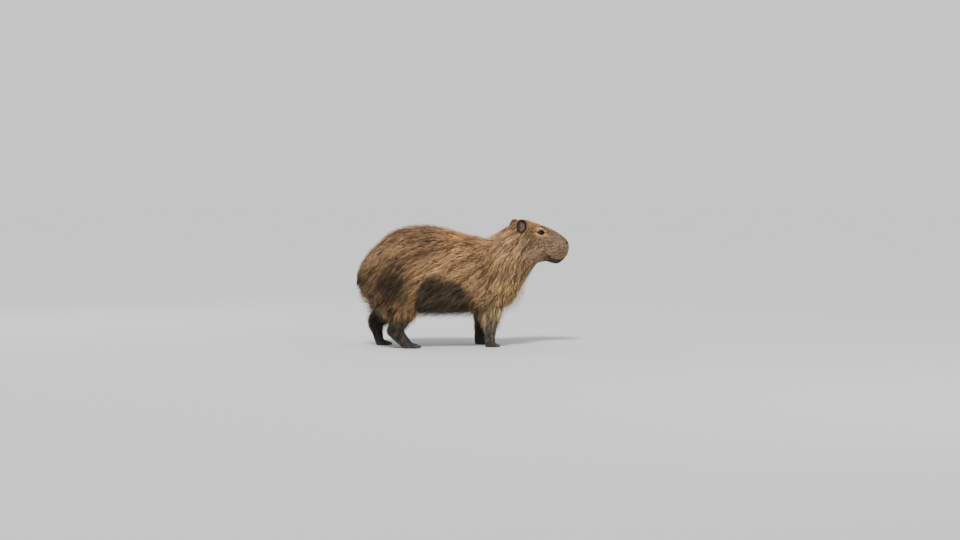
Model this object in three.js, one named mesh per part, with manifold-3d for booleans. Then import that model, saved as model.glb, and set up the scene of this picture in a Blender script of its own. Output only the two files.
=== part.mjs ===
// A capybara standing on level ground, as a still museum model at life size.
// Millimetres, +Z up. It faces +X, its right side is towards -Y, and its soles are at z = 0.
import * as THREE from "three";
import { mergeVertices } from "three/addons/utils/BufferGeometryUtils.js";
import Module from "manifold-3d";

const manifold = await Module();
manifold.setup();

// Driving dimensions.
const partGap = 0.3; // between pieces that touch
const headTurn = THREE.MathUtils.degToRad(7); // the head looks a little to the animal's left
const eyeRadius = 18;
const lidThickness = 4;
const earHeight = 64;
const earWidth = 44;
const earWall = 3.2;
const shift = vec(-1.5, 0, 0); // centres the animal's box on the origin

// Trunk, neck and head are one form. Each row is a section, from rump to nose: back line x and z, belly
// line x and z, half the width, how far up the widest level lies, and how square the upper and the lower
// half are (2 is an ellipse).
const sections = [
  [-507, 330, -507, 330, 1, 0.5, 2, 2],
  [-496, 372, -490, 287, 62, 0.5, 2, 2],
  [-464, 426, -462, 248, 108, 0.5, 2, 2],
  [-414, 484, -418, 214, 144, 0.47, 2, 2.1],
  [-346, 542, -348, 188, 167, 0.44, 2, 2.2],
  [-268, 570, -268, 168, 177, 0.43, 2, 2.2],
  [-182, 577, -182, 157, 182, 0.42, 2, 2.2],
  [-92, 564, -94, 155, 180, 0.42, 2, 2.2],
  [-5, 538, -8, 161, 169, 0.42, 2, 2.2],
  [66, 523, 70, 172, 154, 0.42, 2, 2.2],
  [124, 518, 145, 184, 139, 0.44, 2, 2.1],
  [166, 540, 207, 210, 124, 0.46, 2, 2],
  [206, 565, 250, 250, 111, 0.48, 2.1, 2],
  [246, 584, 288, 303, 99, 0.49, 2.2, 2],
  [287, 595, 322, 358, 91, 0.46, 2.4, 2.1],
  [327, 593, 350, 389, 87, 0.43, 2.5, 2.2],
  [365, 585, 378, 401, 80, 0.42, 2.5, 2.2],
  [401, 575, 408, 406, 71, 0.44, 2.4, 2.2],
  [436, 561, 437, 401, 62, 0.46, 2.3, 2.3],
  [468, 543, 465, 398, 56, 0.48, 2.3, 2.4],
  [493, 526, 488, 411, 51, 0.5, 2.4, 2.5],
  [510, 508, 507, 431, 43, 0.52, 2.5, 2.4],
  [518, 492, 517, 453, 27, 0.52, 2.3, 2.2],
  [520, 474, 520, 474, 1, 0.5, 2, 2],
];
// The coat. The body under it lies inside the outer form by the depth, and the locks' tips reach out to
// that form.
const coat = {
  depth: 8,
  neckDepth: 2,
  length: 128,
  width: 80,
  spacing: 82,
  rowSpacing: 93,
  bend: 0.5,
  seed: 20,
};
// Along a lock: share of its length, of its width, and the heights of its edges and its ridge over the
// body.
const lockStations = [
  [0, 0.5, -8, -3],
  [0.38, 1, -2, 6],
  [0.8, 0.55, 2, 8],
];

const pairs = (rows, a, b) => rows.map((row) => new THREE.Vector2(row[a], row[b]));
const sectionCurve = (a, b) => new THREE.SplineCurve(pairs(sections, a, b));
const backLine = sectionCurve(0, 1);
const bellyLine = sectionCurve(2, 3);
const widthAndLevel = sectionCurve(4, 5);
const squareness = sectionCurve(6, 7);

// Muscle and bone that push the flanks out (or in): centre x and z, reach along x and z, and how far.
const swells = {
  haunch: [-325, 300, 95, 110, 15],
  flankHollow: [-190, 300, 45, 90, -7],
  shoulder: [128, 330, 70, 110, 12],
  elbowHollow: [40, 230, 40, 60, -8],
  neckHollow: [215, 400, 45, 90, -4],
  cheek: [318, 448, 45, 45, 5],
  temple: [318, 560, 30, 20, -4],
  browBone: [362, 572, 26, 12, 4],
  eyeHollow: [372, 545, 22, 18, -6],
  muzzleHollow: [415, 505, 30, 26, -6],
  muzzlePad: [478, 470, 30, 34, 4],
};

// Legs as level sections from the top down: height, back and front edge, distance from the middle, half the
// width. The left feet stand further back than the right ones: stand moves a leg along, fading out up it.
const foreleg = [
  [370, 72, 200, 66, 38],
  [300, 64, 204, 80, 46],
  [235, 62, 186, 86, 44],
  [190, 66, 173, 88, 40],
  [160, 74, 163, 89, 35],
  [128, 84, 154, 89, 29],
  [98, 89, 147, 89, 25],
  [66, 91, 142, 88, 22],
  [40, 91, 140, 88, 22],
  [20, 91, 142, 88, 24],
  [-3, 94, 142, 88, 23],
];
const thigh = [
  [380, -430, -250, 90, 60],
  [310, -446, -240, 102, 66],
  [250, -444, -229, 108, 64],
];
const rightHind = [
  ...thigh,
  [212, -430, -228, 110, 59],
  [187, -408, -233, 111, 51],
  [164, -383, -246, 112, 43],
  [146, -367, -260, 113, 37],
  [126, -364, -278, 113, 31],
  [104, -371, -294, 113, 27],
  [86, -377, -300, 113, 25],
  [70, -374, -293, 113, 24],
  [52, -358, -280, 113, 23],
  [28, -332, -261, 113, 24],
  [-3, -306, -244, 113, 24],
];
const leftHind = [
  ...thigh,
  [212, -432, -238, 110, 59],
  [187, -422, -264, 111, 51],
  [164, -427, -298, 112, 43],
  [146, -437, -320, 113, 37],
  [130, -445, -338, 113, 32],
  [115, -447, -357, 113, 28],
  [98, -444, -376, 113, 26],
  [76, -435, -381, 113, 24],
  [50, -426, -379, 113, 23],
  [24, -418, -374, 113, 24],
  [-3, -410, -362, 113, 24],
];
const legs = {
  front_right: { side: -1, rows: foreleg, ball: 124, stand: 0, ankle: 34 },
  front_left: { side: 1, rows: foreleg, ball: 124, stand: -25, ankle: 34 },
  hind_right: { side: -1, rows: rightHind, ball: -274, stand: 0, ankle: 48 },
  hind_left: { side: 1, rows: leftHind, ball: -390, stand: 0, ankle: 48 },
};

// Feet: toes by length and half width, spread as a fan, with the nails' lengths.
const feet = {
  front: { toes: [22, 30, 30, 20], toeHalf: 8, spread: 16, padHalf: 21, nail: 12 },
  hind: { toes: [32, 42, 34], toeHalf: 10.5, spread: 15, padHalf: 24, nail: 17 },
};

const materials = {
  coat: new THREE.MeshStandardMaterial({ color: 0x8d6e53, roughness: 0.85, metalness: 0 }),
  neckCoat: new THREE.MeshStandardMaterial({ color: 0xa4876a, roughness: 0.85, metalness: 0 }),
  faceCoat: new THREE.MeshStandardMaterial({ color: 0x846c56, roughness: 0.8, metalness: 0 }),
  legCoat: new THREE.MeshStandardMaterial({ color: 0x5d5248, roughness: 0.8, metalness: 0 }),
  footSkin: new THREE.MeshStandardMaterial({ color: 0x4a4540, roughness: 0.6, metalness: 0 }),
  earSkin: new THREE.MeshStandardMaterial({ color: 0x4b3c36, roughness: 0.65, metalness: 0 }),
  eye: new THREE.MeshStandardMaterial({ color: 0x1d120c, roughness: 0.05, metalness: 0 }),
  nail: new THREE.MeshStandardMaterial({ color: 0x2f2a26, roughness: 0.4, metalness: 0 }),
};

function vec(x, y, z) {
  return new THREE.Vector3(x, y, z);
}

const power = (value, exponent) => Math.sign(value) * Math.abs(value) ** exponent;

function smoothStep(t) {
  const s = Math.min(Math.max(t, 0), 1);
  return s * s * (3 - 2 * s);
}

// Turns closed three.js geometry into a solid that can be joined and cut.
function solid(geometry) {
  const loose = geometry.index ? geometry.toNonIndexed() : geometry;
  const bare = new THREE.BufferGeometry().setAttribute("position", loose.getAttribute("position"));
  const merged = mergeVertices(bare, 1e-3);
  const vertProperties = merged.attributes.position.array;
  const triVerts = new Uint32Array(merged.index.array);
  return new manifold.Manifold(new manifold.Mesh({ numProp: 3, vertProperties, triVerts }));
}

const union = (solids) => manifold.Manifold.union(solids);

// A node keeps its largest closed surface, which drops loose scraps and fills sealed hollows.
function largest(body) {
  return body.decompose().reduce((a, b) => (b.volume() > a.volume() ? b : a));
}

// A closed skin over rings of points. Each end closes on the middle of its ring, or the last one on a tip.
function skinOver(rings, tip) {
  const around = rings[0].length;
  const points = rings.flat();
  const middle = (ring) => ring.reduce((sum, p) => sum.add(p), vec(0, 0, 0)).divideScalar(around);
  const first = points.push(middle(rings[0])) - 1;
  const last = points.push(tip ?? middle(rings.at(-1))) - 1;
  const end = (rings.length - 1) * around;
  const corners = [];
  for (let j = 0; j < around; j++) {
    const k = (j + 1) % around;
    corners.push(first, k, j);
    for (let row = 0; row < end; row += around)
      corners.push(row + j, row + k, row + around + j, row + k, row + around + k, row + around + j);
    corners.push(last, end + j, end + k);
  }
  if (volumeOf(points, corners) < 0) corners.reverse();
  return solid(new THREE.BufferGeometry().setFromPoints(corners.map((i) => points[i])));
}

function volumeOf(points, corners) {
  let sum = 0;
  for (let i = 0; i < corners.length; i += 3) {
    const [a, b, c] = [0, 1, 2].map((k) => points[corners[i + k]]);
    sum += a.dot(b.clone().cross(c));
  }
  return sum / 6;
}

// How far the muscles push a point of the flank outwards.
function swellAt(x, z) {
  let out = 0;
  for (const [centreX, centreZ, reachX, reachZ, push] of Object.values(swells))
    out += push * Math.exp(-(((x - centreX) / reachX) ** 2) - ((z - centreZ) / reachZ) ** 2);
  return out;
}

// A point of the trunk, neck and head: along is 0 at the rump and 1 at the nose; angle is 0 on the left
// flank and a quarter turn on the back. inset lies that far inside the outer form.
function bodyPoint(along, angle, inset = 0) {
  const back = backLine.getPoint(along);
  const belly = bellyLine.getPoint(along);
  const { x: halfWidth, y: level } = widthAndLevel.getPoint(along);
  const { x: squareUp, y: squareDown } = squareness.getPoint(along);
  const depth = back.distanceTo(belly);
  const keep = Math.max(1 - (2 * inset) / Math.max(depth, 1), 0.2);
  const up = Math.sin(angle);
  const square = 2 / (up > 0 ? squareUp : squareDown);
  const rise = level + (up > 0 ? 1 - level : level) * power(up, square);
  const share = 0.5 + (rise - 0.5) * keep;
  const x = belly.x + (back.x - belly.x) * share;
  const z = belly.y + (back.y - belly.y) * share;
  const side = power(Math.cos(angle), square);
  const flank = Math.min(1, Math.abs(side) * 1.3) * Math.sign(side);
  return vec(x, side * Math.max(halfWidth - inset, 0.5) + flank * swellAt(x, z), z);
}

// The place (along, angle) on the left flank that is nearest to x and z as seen from the side.
function placeOnBody(x, z) {
  let best = { miss: Infinity };
  let [along, angle, reachAlong, reachAngle] = [0.5, 0, 0.5, Math.PI / 2];
  for (let round = 0; round < 8; round++) {
    for (let i = -6; i <= 6; i++)
      for (let j = -6; j <= 6; j++) {
        const a = Math.min(Math.max(along + (reachAlong * i) / 6, 0), 1);
        const b = Math.min(Math.max(angle + (reachAngle * j) / 6, -1.57), 1.57);
        const p = bodyPoint(a, b);
        const miss = Math.hypot(p.x - x, p.z - z);
        if (miss < best.miss) best = { miss, along: a, angle: b, point: p };
      }
    [along, angle, reachAlong, reachAngle] = [best.along, best.angle, reachAlong / 3, reachAngle / 3];
  }
  return best;
}

// The outward direction of the body's surface.
function bodyNormal(along, angle) {
  const step = 1e-3;
  const down = bodyPoint(along + step, angle).sub(bodyPoint(along - step, angle));
  const round = bodyPoint(along, angle + step).sub(bodyPoint(along, angle - step));
  return round.cross(down).normalize();
}

function bodyForm(from, to, rings, around, inset) {
  const rows = [];
  for (let i = 0; i <= rings; i++) {
    const along = from + ((to - from) * i) / rings;
    const inside = typeof inset === "function" ? inset(along) : inset;
    const place = (_, j) => bodyPoint(along, (2 * Math.PI * (j + 0.5)) / around, inside);
    rows.push(Array.from({ length: around }, place));
  }
  return skinOver(rows);
}

// A limb along a curve through rows of x, y, z, half depth, half width. across is the direction of the
// width.
function limb(rows, rings, around, across = vec(0, 1, 0)) {
  const path = new THREE.CatmullRomCurve3(rows.map(([x, y, z]) => vec(x, y, z)), false, "catmullrom", 0.5);
  const sizes = new THREE.SplineCurve(rows.map((row) => new THREE.Vector2(row[3], row[4])));
  const skin = [];
  for (let i = 0; i <= rings; i++) {
    const centre = path.getPoint(i / rings);
    const fore = across.clone().cross(path.getTangent(i / rings)).normalize();
    const { x: deep, y: wide } = sizes.getPoint(i / rings);
    const place = (_, j) => {
      const angle = (2 * Math.PI * j) / around;
      const p = centre.clone().addScaledVector(fore, Math.cos(angle) * deep);
      return p.addScaledVector(across, Math.sin(angle) * wide);
    };
    skin.push(Array.from({ length: around }, place));
  }
  return skinOver(skin);
}

// The half space on the side that the normal points to, as a large block, for parting the body.
function halfSpace(point, normal, offset) {
  const size = 3000;
  const block = new THREE.BoxGeometry(size, size, size).translate(0, 0, size / 2 + offset);
  const turn = new THREE.Quaternion().setFromUnitVectors(vec(0, 0, 1), normal.clone().normalize());
  block.applyQuaternion(turn);
  return solid(block.translate(point.x, point.y, point.z));
}

// Where the neck meets the head and the trunk: a point, and the direction towards the head.
const headCut = { point: vec(215, 0, 580), normal: vec(0.893, 0, 0.45) };
const neckCut = { point: vec(134, 0, 518), normal: vec(0.963, 0, 0.27) };

const beyond = (cut, offset) => halfSpace(cut.point, cut.normal, offset);
const before = (cut, offset) => halfSpace(cut.point, cut.normal.clone().negate(), offset);

// The part of the body that goes with one leg: an egg seen from the side, with a skirt down to the ground.
function legRegion(side, egg, innerWall, grow) {
  const outline = new THREE.Shape();
  const steps = 20;
  for (let i = 0; i <= steps; i++) {
    const angle = (Math.PI * i) / steps;
    const x = egg.x + Math.cos(angle) * (egg.halfLength + grow);
    const z = egg.z + Math.sin(angle) * (egg.halfHeight + grow);
    if (i) outline.lineTo(x, z);
    else outline.moveTo(x, z);
  }
  outline.lineTo(egg.x - egg.skirtBack - grow, -50);
  outline.lineTo(egg.x + egg.skirtFront + grow, -50);
  const depth = 400;
  const prism = new THREE.ExtrudeGeometry(outline, { depth, bevelEnabled: false, steps: 1 });
  prism.rotateX(Math.PI / 2).translate(0, side > 0 ? depth + innerWall - grow : -innerWall + grow, 0);
  return solid(prism);
}

const hindEgg = {
  x: -345,
  z: 265,
  halfLength: 122,
  halfHeight: 140,
  skirtBack: 150,
  skirtFront: 122,
  wall: 34,
};
const frontEgg = {
  x: 118,
  z: 240,
  halfLength: 82,
  halfHeight: 110,
  skirtBack: 82,
  skirtFront: 82,
  wall: 26,
};

// How deep the coat is at a height of a leg. It fades out above the knee and the elbow.
const legCoat = (z) => coat.depth * 0.9 * smoothStep((z - 130) / 90);

// A point of a leg's core: down is the place in its rows, and angle is 0 at the front and a quarter turn on
// the outside.
function legPoint({ rows, side, stand }, down, angle) {
  const i = Math.min(Math.max(Math.floor(down), 0), rows.length - 2);
  const between = (value, k) => value + (rows[i + 1][k] - value) * (down - i);
  const [z, back, front, y, halfWidth] = rows[i].map(between);
  const x = (back + front) / 2 + stand * smoothStep((260 - z) / 230);
  const inset = legCoat(z);
  const halfDepth = (front - back) / 2 - inset;
  return vec(x + Math.cos(angle) * halfDepth, side * (y + Math.sin(angle) * (halfWidth - inset)), z);
}

// A leg as a skin over its level sections.
function legForm(leg, around = 12) {
  const angles = Array.from({ length: around }, (_, j) => (2 * Math.PI * (j + 0.5)) / around);
  return skinOver(leg.rows.map((_, row) => angles.map((angle) => legPoint(leg, row, angle))));
}

// Whether a point lies inside a leg, by its level section at that height.
function insideLeg(leg, p) {
  const row = leg.rows.findIndex(([z]) => z < p.z);
  if (row < 1) return false;
  const down = row - 1 + (leg.rows[row - 1][0] - p.z) / (leg.rows[row - 1][0] - leg.rows[row][0]);
  const [front, back] = [legPoint(leg, down, 0), legPoint(leg, down, Math.PI)];
  const [outer, inner] = [legPoint(leg, down, Math.PI / 2), legPoint(leg, down, -Math.PI / 2)];
  const u = (2 * p.x - front.x - back.x) / (front.x - back.x);
  const v = (2 * p.y - outer.y - inner.y) / (outer.y - inner.y);
  return u * u + v * v < 1;
}

// A stream of even random numbers from 0 to 1 out of one seed.
function randomFrom(seed) {
  let state = seed;
  return () => {
    state = (state + 0x6d2b79f5) | 0;
    let mixed = Math.imul(state ^ (state >>> 15), 1 | state);
    mixed = (mixed + Math.imul(mixed ^ (mixed >>> 7), 61 | mixed)) ^ mixed;
    return ((mixed ^ (mixed >>> 14)) >>> 0) / 4294967296;
  };
}

// The slopes of a skin at a place: steps along its two directions, and its outward normal.
function slopes(skin, u, v, inside) {
  const step = 1e-3;
  const alongU = skin(u + step, v).sub(skin(u - step, v)).divideScalar(2 * step);
  const alongV = skin(u, v + step).sub(skin(u, v - step)).divideScalar(2 * step);
  const normal = alongU.clone().cross(alongV).normalize();
  if (normal.dot(skin(u, v).sub(inside)) < 0) normal.negate();
  return { alongU, alongV, normal };
}

// The change of u and v that goes with a small move over the skin.
function moveOn({ alongU, alongV }, move) {
  const [uu, uv, vv] = [alongU.dot(alongU), alongU.dot(alongV), alongV.dot(alongV)];
  const [mu, mv] = [alongU.dot(move), alongV.dot(move)];
  const scale = Math.max(uu * vv - uv * uv, 1e-6 * uu * vv + 1e-6);
  return [(mu * vv - mv * uv) / scale, (mv * uu - mu * uv) / scale];
}

// The way the hair lies at a point: backwards on the midline, back and down on the flanks, steeper on the
// haunch, shoulder and neck, and down on the legs.
function lieAt(p, normal, onLeg) {
  const steep = 32 + 26 * smoothStep((-260 - p.x) / 120) + 28 * smoothStep((p.x - 20) / 120);
  const droop = THREE.MathUtils.degToRad(onLeg ? 74 : steep * (0.15 + 0.85 * Math.abs(normal.y)));
  const lie = vec(-Math.cos(droop), 0, -Math.sin(droop)).projectOnPlane(normal);
  return lie.length() < 0.35 ? vec(0.5, 0, -0.86).projectOnPlane(normal).normalize() : lie.normalize();
}

// One lock, walked over the skin from its root. height scales how far it stands off the skin.
function lockForm({ skin, middle, u, v, length, width, bend, height, onLeg = false }) {
  const steps = 14;
  const walk = [];
  for (let i = 0; i <= steps; i++) {
    const p = skin(u, v);
    const local = slopes(skin, u, v, middle(p));
    const lie = lieAt(p, local.normal, onLeg).applyAxisAngle(local.normal, bend * (i / steps - 0.35));
    walk.push({ u, v, p, lie, ...local });
    const [du, dv] = moveOn(local, lie.clone().multiplyScalar(length / steps));
    [u, v] = u + du < 0 ? [-u - du, v + dv + Math.PI] : [u + du, v + dv];
  }
  const rings = lockStations.map(([share, wide, edge, ridge]) => {
    const at = walk[Math.round(share * steps)];
    const across = at.lie.clone().cross(at.normal);
    const side = (sign) => {
      const [du, dv] = moveOn(at, across.clone().multiplyScalar((sign * wide * width) / 2));
      return skin(at.u + du, at.v + dv).addScaledVector(at.normal, edge < 0 ? edge : edge * height);
    };
    return [side(-1), at.p.clone().addScaledVector(at.normal, ridge < 0 ? ridge : ridge * height), side(1)];
  });
  const end = walk.at(-1);
  return skinOver(rings, end.p.clone().addScaledVector(end.normal, coat.depth * height));
}

// All the locks, in rows round the trunk and neck, and over the outsides of the thighs and upper forelegs.
function coatLocks() {
  const random = randomFrom(coat.seed);
  const shape = () => {
    const [long, wide, , turn] = [random(), random(), random(), random()].map((draw) => 2 * draw - 1);
    const length = coat.length * (1 + 0.14 * long);
    return { length, width: coat.width * (1 + 0.12 * wide), bend: coat.bend * turn };
  };
  const locks = [];
  const trunkSkin = (u, v) => bodyPoint(Math.min(Math.max(u, 0.004), 0.7), v, trunkCoat(u));
  const trunkMiddle = (p) => vec(Math.min(Math.max(p.x, -400), 300), 0, Math.max(370, p.z * 0.9));
  let row = 0;
  for (let u = 0.06; u < 0.6; row++) {
    const girth = ringLength(trunkSkin, u);
    const count = Math.max(Math.round(girth / coat.spacing), 4);
    for (let k = 0; k < count; k++) {
      const v = (2 * Math.PI * (k + (row % 2) / 2 + 0.5 * (random() - 0.5))) / count;
      const lock = { ...shape(), u: u + 0.006 * (random() - 0.5), v };
      if (u < 0.46 && Math.sin(v) < -0.8 && k % 2) continue;
      if (u < 0.17 && Math.sin(v) < -0.3) continue;
      const p = trunkSkin(u, v);
      const further = p.clone().add(vec(-32, 0, -28));
      const height = trunkCoat(u) / coat.depth;
      const covered = Object.values(legs).some((leg) => insideLeg(leg, further));
      if (!covered) locks.push(lockForm({ ...lock, skin: trunkSkin, middle: trunkMiddle, height }));
    }
    const step = 0.004;
    const pace = (line) => line.getPoint(u + step).distanceTo(line.getPoint(u)) / step;
    u += coat.rowSpacing / Math.max(pace(backLine), pace(bellyLine));
  }
  for (const leg of Object.values(legs)) {
    const skin = (u, v) => legPoint(leg, u, v);
    const hind = leg.rows[0][1] < 0;
    const places = hind ? [[1.6, 3], [2.5, 4], [3.5, 3]] : [[1.6, 2], [2.8, 2]];
    const middleAt = (u, z) => {
      const x = (legPoint(leg, u, 0).x + legPoint(leg, u, Math.PI).x) / 2;
      return vec(x, leg.side * leg.rows[2][3], z);
    };
    places.forEach(([u, count], i) => {
      for (let k = 0; k < count; k++) {
        const v = Math.PI * (-0.06 + (1.12 * (k + 0.5 + (i % 2 ? 0.25 : -0.25))) / count);
        const p = skin(u, v);
        const height = legCoat(p.z) / coat.depth;
        const size = shape();
        size.length *= 0.45 + 0.45 * height;
        size.width *= hind ? 0.85 : 0.75;
        const place = { u: u + 0.1 * random(), v, skin, middle: () => middleAt(u, p.z) };
        locks.push(lockForm({ ...size, ...place, height, onLeg: true }));
      }
    });
  }
  return locks;
}

// How long the way round a skin is at a place along it.
function ringLength(skin, u) {
  let sum = 0;
  const at = (k) => skin(u, (Math.PI * k) / 12);
  for (let k = 0; k < 24; k++) sum += at(k).distanceTo(at(k + 1));
  return sum;
}

// How deep the coat is along the trunk. It thins out over the neck towards the head.
const trunkCoat = (along) => coat.depth + (coat.neckDepth - coat.depth) * smoothStep((along - 0.55) / 0.06);

// The toes in a fan from the ball of the foot, with their nails.
function toesForm(kind, ball) {
  const { toes, toeHalf, spread, padHalf } = feet[kind];
  const pieces = [];
  const nails = [];
  toes.forEach((length, i) => {
    const place = i - (toes.length - 1) / 2;
    const turn = THREE.MathUtils.degToRad(place * spread);
    const ahead = vec(Math.cos(turn), Math.sin(turn), 0);
    const sideways = vec(-ahead.y, ahead.x, 0);
    const root = ball.clone().add(vec(0, (place / toes.length) * padHalf * 1.5, 0));
    const rows = [
      [-4, 12, toeHalf],
      [length * 0.45, toeHalf + 5, toeHalf * 1.05],
      [length * 0.8, toeHalf + 1, toeHalf],
      [length, toeHalf - 1, toeHalf * 0.72],
    ].map(([reach, height, half]) => {
      const p = root.clone().addScaledVector(ahead, reach);
      return [p.x, p.y, height, half, half];
    });
    pieces.push(limb(rows, 2, 7, sideways));
    nails.push(nailForm(kind, root.clone().addScaledVector(ahead, length - 2), ahead, sideways, toeHalf));
  });
  return { pieces, nails };
}

// A blunt nail, like a small hoof, and the room that it takes in the toe.
function nailForm(kind, root, ahead, sideways, toeHalf) {
  const length = feet[kind].nail;
  const form = (grow) =>
    limb(
      [
        [-7 - grow, toeHalf, 0.5],
        [0, toeHalf * 0.95, 0.68],
        [length * 0.5, toeHalf * 0.72, 0.62],
        [length + grow, toeHalf * 0.42, 0.3],
      ].map(([reach, height, half]) => [
        root.x + ahead.x * reach,
        root.y + ahead.y * reach,
        height,
        toeHalf * half + grow,
        toeHalf * half * 1.1 + grow,
      ]),
      2,
      6,
      sideways,
    );
  return { body: form(0), room: form(partGap) };
}

// Where things sit on the head, seen from the side.
const eyePlace = placeOnBody(364, 547);
const nostrilPlace = placeOnBody(507, 497);
const earTop = vec(271, 62, 609);
const earFoot = placeOnBody(261, 547).point.add(vec(0, 3, 0));

// The eyeball's middle, on the left, and the way the eye looks.
const eyeNormal = bodyNormal(eyePlace.along, eyePlace.angle);
const eyeCentre = eyePlace.point.clone().addScaledVector(eyeNormal, -eyeRadius * 0.72);
const eyeAxis = vec(0.26, 0.95, 0.16).normalize();

const mirrored = (v, side) => vec(v.x, v.y * side, v.z);

function ball(radius, centre, segments = 12) {
  const sphere = new THREE.SphereGeometry(radius, segments, segments / 2 + 1);
  return solid(sphere.translate(centre.x, centre.y, centre.z));
}

// Lids: a flattened mound over the eyeball, open in an almond that faces along the eye's axis.
function lidsAndSocket(side) {
  const centre = mirrored(eyeCentre, side);
  const axis = mirrored(eyeAxis, side);
  const level = vec(0, 0, 1).cross(axis).normalize();
  const frame = new THREE.Matrix4().makeBasis(level, axis.clone().cross(level), axis).setPosition(centre);
  const reach = eyeRadius + lidThickness;
  const mound = new THREE.SphereGeometry(1, 14, 9).scale(reach * 1.35, reach * 1.12, reach);
  mound.applyMatrix4(frame);
  const almond = new THREE.Shape();
  const [halfLong, halfUp] = [eyeRadius * 0.98, eyeRadius * 0.5];
  almond.moveTo(-halfLong, -1);
  almond.quadraticCurveTo(0, halfUp * 2.1, halfLong, -1);
  almond.quadraticCurveTo(0, -halfUp * 1.8, -halfLong, -1);
  const opening = new THREE.ExtrudeGeometry(almond, { depth: 60, bevelEnabled: false, curveSegments: 7 });
  return {
    lids: solid(mound),
    opening: solid(opening.applyMatrix4(frame)),
    socket: ball(eyeRadius + partGap, centre),
  };
}

// A nostril: a comma-shaped pit that slants down and back.
function nostril(side) {
  const centre = mirrored(nostrilPlace.point, side);
  const pit = new THREE.SphereGeometry(1, 8, 6).scale(7, 8, 3.6).rotateY(0.6);
  return solid(pit.translate(centre.x, centre.y, centre.z));
}

// The line of the mouth: a groove round the muzzle, from one corner under the nose to the other.
function mouthGroove() {
  const places = [[407, 432], [422, 420], [444, 411], [472, 412], [494, 421]];
  const left = places.map(([x, z]) => placeOnBody(x, z).point);
  const right = left.map((p) => mirrored(p, -1)).reverse();
  const front = [vec(509, 20, 430), vec(513, 0, 434), vec(509, -20, 430)];
  const path = new THREE.CatmullRomCurve3([...left, ...front, ...right]);
  const middle = new THREE.Vector2();
  const corner = (k) => new THREE.Vector2(2.6, 0).rotateAround(middle, (k * Math.PI) / 2);
  const round = new THREE.Shape([0, 1, 2, 3].map(corner));
  return solid(new THREE.ExtrudeGeometry(round, { steps: 20, extrudePath: path, bevelEnabled: false }));
}

// The ear: a cup that opens outwards. Its outer and inner faces are one sheet folded at the rim. With grow
// it is larger and filled up to its rim, as the room that it takes in the head.
function earForm(side, grow = 0) {
  const rings = 8;
  const around = 14;
  const skin = [];
  for (let i = 0; i <= (grow ? rings / 2 : rings); i++) {
    const outer = i < rings / 2;
    const reach = Math.max(outer ? (i * 2) / rings : 2 - (i * 2) / rings, 0.1);
    const spread = Math.sin((reach * Math.PI) / 2) ** 0.75;
    const thin = outer || reach === 1 ? 0 : earWall;
    skin.push(
      Array.from({ length: around }, (_, j) => {
        const angle = (2 * Math.PI * j) / around;
        const a = Math.cos(angle) * spread * (earWidth / 2 - thin + grow);
        const b = Math.sin(angle) * spread * (earHeight / 2 - thin + grow);
        const bowl = (17 + grow) * (1 - reach ** 2);
        return vec(a, b, -bowl - (outer ? earWall * (1 - reach * 0.5) : 0) + (reach === 1 ? grow : 0));
      }),
    );
  }
  const up = earTop.clone().sub(earFoot).normalize();
  const outward = vec(-0.16, 1, 0.1).cross(up).cross(up).negate().normalize();
  const frame = new THREE.Matrix4().makeBasis(up.clone().cross(outward), up, outward);
  frame.setPosition(earTop.clone().add(earFoot).multiplyScalar(0.5));
  for (const ring of skin)
    for (const p of ring) {
      p.applyMatrix4(frame);
      p.y *= side;
    }
  return skinOver(skin);
}

// The stub of the tail, or with grow the room that it takes in the rump.
function tailForm(grow) {
  const rows = [
    [-474 + grow, 0, 332, 12, 15],
    [-492, 0, 327, 12, 15],
    [-506, 0, 318, 10, 11],
    [-511, 0, 308, 5, 5],
  ];
  return limb(rows.map(([x, y, z, deep, wide]) => [x, y, z, deep + grow, wide + grow]), 3, 7);
}

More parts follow.
